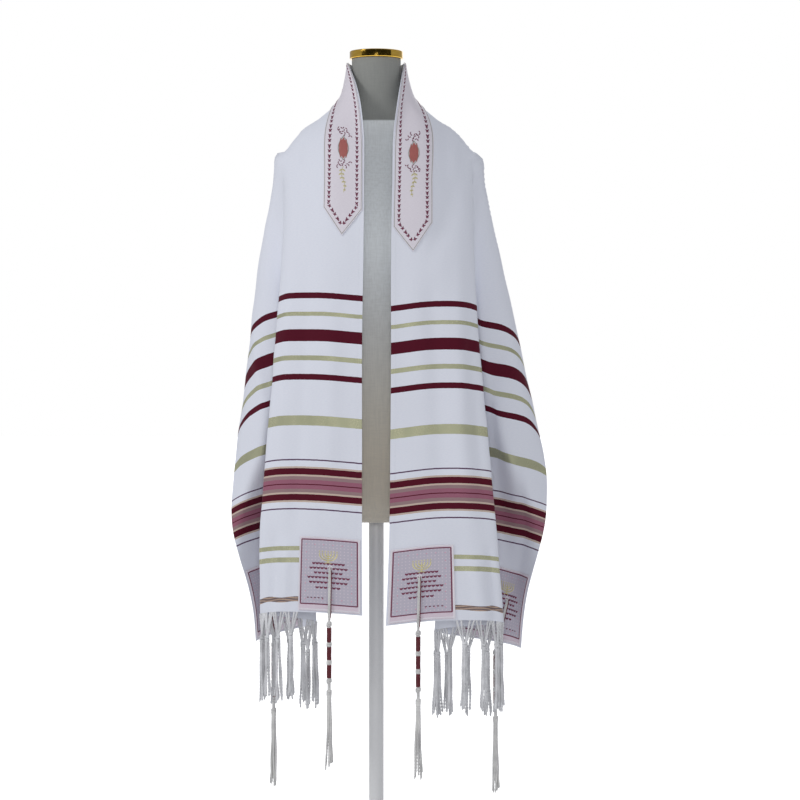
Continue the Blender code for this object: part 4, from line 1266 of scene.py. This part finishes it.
def build_tassel(end, place, chance, cotton, wine):
    """A corner tassel: strings from the eyelet, a core wound dark between white knots, and free strands."""
    eyelet = EYELET_ACROSS if place == "front" else WIDTH - EYELET_ACROSS
    stand_off = CAD_CLOTH_THICKNESS / 2 + SEAM_GAP + TRIM_THICKNESS + LEG_CLEARANCE[place] + LEG_RADIUS
    across = np.full(5, eyelet)
    along = end.sign * np.linspace(end.half_length - EYELET_ABOVE_END, end.half_length + 0.004, 5)
    leg = cloth_points(across, along) + cloth_normals(across, along) * stand_off
    top = leg[-1] + (0, 0, -8 * MM)
    first = surface(across[:1], along[:1], TRIM_LIFT)[0]
    white, dark = [], []
    for aside, is_white, radius in LEGS:
        shift = np.array([aside * MM, 0, 0])
        path = [first, leg[0] + shift * 0.6 + (0, 0, -3 * MM), *(leg[1:] + shift), top + shift * 0.3]
        string = Route(bent(path, 40), radius * MM, STRAND_SIDES, LEG_TWIST)
        (white if is_white else dark).append(string)

    def down_core(share):
        """The point at this share of the core's length."""
        return top + (0, 0, -share * TASSEL_CORE_LENGTH)

    core = [down_core(share) for share in np.linspace(0, 1, CORE_STEPS)]
    white.append(Route(core, CORE_RADIUS, CORE_SIDES, 0))
    for low, high in WINDINGS:
        centre, length = down_core((low + high) / 2), (high - low) * TASSEL_CORE_LENGTH
        turns = length / WIRE_PITCH
        wire = coil(centre, WOUND_RADIUS, length, turns, int(turns * WIRE_STEPS))
        under = [centre + (0, 0, length * share) for share in (0.49, 0, -0.49)]
        dark += [Route(wire, WIRE_RADIUS, WIRE_SIDES, 0), Route(under, UNDER_WIRE_RADIUS, CORE_SIDES, 0)]
    for share, turns in KNOTS:
        white += knot_routes(down_core(share), CORE_KNOT, turns)
    detail = random.Random(end.sign + len(place))
    for turn in range(TASSEL_STRANDS):
        angle = math.tau * turn / TASSEL_STRANDS
        outwards = np.array([math.cos(angle), math.sin(angle), 0])
        length = TASSEL_STRAND_LENGTH + chance.uniform(-10, 4) * MM
        start = down_core(1) + outwards * 2.5 * MM + (0, 0, 4 * MM)
        sway = outwards[:2] * chance.uniform(1.5, 4.5) * MM
        path = hang(start, length, sway, 60, detail.uniform(0.4, 1.7) * MM, detail.uniform(0, 6))
        white.append(cut_strand(path, TASSEL_YARN, TASSEL_TWIST))
    name = f"tassel_{end.name}_{place}"
    strings = tube_piece(f"{name}_strings", white, cotton)
    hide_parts(name)
    windings = tube_piece(f"{name}_windings", dark, wine)
    return [strings, windings]


NECK_SEAM = 1.3330
SEAM_DEPTH = 0.0011
SEAM_REACH = 0.0022
FORM_COLUMNS = 128
FORM_ROWS = 260
COVER_INSET = 0.0006
SIDE_SEAM_SHARE = 0.7
SIDE_SEAMS = (0, math.pi / 2, math.pi)
FOOT_TURN_IN = (0.016, 0.014, 0)


def build_form(cloth):
    """The form's linen cover: smooth rings, a seam round the neck and one down each side and the back."""
    heights = [ring.z for ring in FORM_RINGS]
    sizes = np.array([(ring.width, ring.depth, ring.centre) for ring in FORM_RINGS])
    levels = np.linspace(heights[1], heights[-1], FORM_ROWS)
    rows = spline(heights, sizes, levels)
    lower = np.linspace(0, 1, 8)[:-1]
    turn_in = (1 - np.sqrt(1 - (1 - lower) ** 2))[:, None] * FOOT_TURN_IN
    rows = np.concatenate([rows[:1] - turn_in, rows])
    levels = np.concatenate([FORM_BOTTOM + (heights[1] - FORM_BOTTOM) * lower, levels])
    angles = np.arange(FORM_COLUMNS) / FORM_COLUMNS * math.tau
    seam = np.exp(-((levels - NECK_SEAM) / SEAM_REACH) ** 2)[:, None]
    body = (levels < NECK_SEAM)[:, None]
    for place in SIDE_SEAMS:
        apart = np.abs(angles - place)[None, :] * rows[:, :1]
        seam = np.maximum(seam, body * SIDE_SEAM_SHARE * np.exp(-((apart / SEAM_REACH) ** 2)))
    inset = COVER_INSET + SEAM_DEPTH * seam
    x = (rows[:, :1] - inset) * np.cos(angles)
    y = rows[:, 2:3] + (rows[:, 1:2] - inset) * np.sin(angles)
    z = np.repeat(levels[:, None], FORM_COLUMNS, axis=1)
    cover = new_piece("form_cover", np.stack([x, y, z], axis=-1), ring_faces(*z.shape), cloth)
    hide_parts("form_body")
    return cover


# Turned profiles past their rounded rims: radius, and height over the top of the cap or the base
CAP_SOFT = 0.0014
CAP_DISH = ((CAP_RADIUS * 0.93, -0.0003), (CAP_RADIUS * 0.90, -0.0009), (CAP_RADIUS * 0.5, -0.0007))
POLE_SOFT = 0.0005
BASE_SOFT = 0.0022
BASE_COLLAR = ((0.026, -0.0001), (0.024, 0.0040), (0.018, 0.0075), (POLE_RADIUS + 0.0004, 0.0080))


def rounded(radius, low, high, soft, steps=5):
    """The profile of a disc with softened rims, bottom to top."""
    turns = np.linspace(0, math.pi / 2, steps + 1)
    lower = [(radius - soft + soft * math.sin(t), low + soft - soft * math.cos(t)) for t in turns]
    upper = [(radius - soft + soft * math.cos(t), high - soft + soft * math.sin(t)) for t in turns]
    return lower + upper


def build_stand(metal, enamel):
    rim = rounded(CAP_RADIUS, TOP_HEIGHT - CAP_HEIGHT, TOP_HEIGHT, CAP_SOFT)
    rim += [(radius, TOP_HEIGHT + rise) for radius, rise in CAP_DISH]
    cap = turned_piece("neck_plate", rim, 96, metal)
    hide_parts("neck_cap")
    shaft = rounded(POLE_RADIUS, BASE_THICKNESS + SEAM_GAP, FORM_BOTTOM - SEAM_GAP, POLE_SOFT)
    pole = turned_piece("pole_tube", shaft, 48, enamel)
    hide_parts("stand_pole")
    plate = rounded(BASE_RADIUS, 0, BASE_THICKNESS, BASE_SOFT)
    plate += [(radius, BASE_THICKNESS + rise) for radius, rise in BASE_COLLAR]
    base = turned_piece("base_plate", plate, 128, enamel)
    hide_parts("stand_base")


# The photo's frame: its scale at the form, and the pixel over the form's neck and top
FRAME_SIZE = 800
PIXEL = 0.00165
NECK_PIXEL = 376
TOP_PIXEL = 47
CAMERA_DISTANCE = 4.5
CLOTH_FRONT = -0.06
SENSOR = 36.0

# The stage: area lights that face the cloth, a dark card that only the brass mirrors, and the world's light
Light = namedtuple("Light", "name place size power")
LIGHTS = (
    Light("key", (-3.0, -1.9, 2.6), 1.0, 36),
    Light("fill", (2.4, -2.4, 1.7), 2.4, 5),
    Light("back", (0.6, 2.8, 2.6), 2.4, 16),
    Light("front", (0.05, -4.2, 1.3), 0.6, 22),
)
LIGHT_TARGET = (0, 0, 0.9)
CARD_PLACE = (0.10, -0.80, 1.66)
CARD_SCALE = (3.6, 0.62, 1)
FLOOR_RADIUS = 60
FLOOR_LEVEL = -0.0005
WORLD_TINT = (0.93, 0.95, 1.0, 1)
WORLD_STRENGTH = 0.46
WHITE = (1, 1, 1, 1)


def build_camera():
    data = bpy.data.cameras.new("camera")
    data.sensor_width = SENSOR
    data.lens = SENSOR * CAMERA_DISTANCE / (FRAME_SIZE * PIXEL)
    camera = put("camera", data)
    camera.location = (
        (FRAME_SIZE / 2 - NECK_PIXEL) * PIXEL,
        CLOTH_FRONT - CAMERA_DISTANCE,
        TOP_HEIGHT - (FRAME_SIZE / 2 - TOP_PIXEL) * PIXEL)
    camera.rotation_euler = (math.pi / 2, 0, 0)
    bpy.context.scene.camera = camera


def build_floor():
    bpy.ops.mesh.primitive_circle_add(
        vertices=96, radius=FLOOR_RADIUS, fill_type="NGON", location=(0, 0, FLOOR_LEVEL))
    floor = bpy.context.object
    floor.name = "floor"
    s = Surface("pale_floor", (0.92, 0.92, 0.92, 1), 0.9)
    s.shader.inputs["Emission Color"].default_value = WHITE
    s.shader.inputs["Emission Strength"].default_value = 1.0
    floor.data.materials.append(s.material)
    floor.visible_diffuse = False


def build_card():
    bpy.ops.mesh.primitive_plane_add(size=1, location=CARD_PLACE, rotation=(math.pi / 2, 0, 0))
    card = bpy.context.object
    card.name = "dark_card"
    card.scale = CARD_SCALE
    card.data.materials.append(Surface("dark_card", (0.01, 0.01, 0.01, 1), 0.9).material)
    for way in ("camera", "diffuse", "shadow", "transmission"):
        setattr(card, f"visible_{way}", False)


def build_lights():
    for row in LIGHTS:
        light = bpy.data.lights.new(row.name, "AREA")
        light.size = row.size
        light.energy = row.power
        lamp = put(row.name, light)
        lamp.location = row.place
        lamp.rotation_euler = (Vector(LIGHT_TARGET) - Vector(row.place)).to_track_quat("-Z", "Y").to_euler()


def build_world():
    """White where the camera looks past the part, and dimmer and bluer for the part's own light."""
    world = bpy.data.worlds.new("white_studio")
    world.use_nodes = True
    nodes, links = world.node_tree.nodes, world.node_tree.links
    background = nodes["Background"]
    background.inputs["Color"].default_value = WORLD_TINT
    background.inputs["Strength"].default_value = WORLD_STRENGTH
    plain = nodes.new("ShaderNodeBackground")
    plain.inputs["Color"].default_value = WHITE
    plain.inputs["Strength"].default_value = 1.0
    join = nodes.new("ShaderNodeMixShader")
    links.new(nodes.new("ShaderNodeLightPath").outputs["Is Camera Ray"], join.inputs[0])
    links.new(background.outputs[0], join.inputs[1])
    links.new(plain.outputs[0], join.inputs[2])
    links.new(join.outputs[0], nodes["World Output"].inputs["Surface"])
    bpy.context.scene.world = world


def build_stage():
    build_camera()
    build_floor()
    build_card()
    build_lights()
    build_world()
    bpy.context.scene.view_settings.view_transform = "Standard"
    bpy.context.scene.view_settings.look = "None"


def main():
    build_stage()
    plum = thread("plum_thread", linear(84, 26, 52), linear(132, 56, 86))
    rose = thread("rose_thread", linear(150, 72, 70), linear(190, 116, 108))
    pink = thread("pink_thread", linear(206, 130, 160), linear(226, 168, 190))
    gold = thread("gold_thread", linear(166, 158, 104), linear(226, 218, 170), 0.4, 0.3)
    white = thread("white_thread", linear(222, 216, 224), linear(246, 243, 248))
    seam = thread("seam_thread", linear(128, 132, 122), linear(164, 168, 156))
    wine = thread("wine_thread", linear(70, 4, 18), linear(112, 14, 36), 0.5)
    cotton = yarn("white_cotton", linear(206, 206, 208), linear(242, 242, 244))
    cream = yarn("tassel_cotton", linear(204, 203, 202), linear(238, 237, 234))

    shawl = build_shawl(woven_cloth())
    band_satin = satin("band_satin", linear(238, 233, 239), linear(220, 212, 222))
    on_shawl = build_band(band_satin, plum, rose, gold, seam)
    patch_cloth = patch_satin()
    chance = random.Random(7)
    for end in ENDS:
        on_shawl.append(build_fringe(end, chance, cotton))
        for place in ("front", "rear"):
            on_shawl += build_patch(end, place, patch_cloth, plum, pink, gold, white)
            on_shawl += build_tassel(end, place, chance, cream, wine)
    cover = build_form(linen())
    build_stand(brass(), paint())


main()
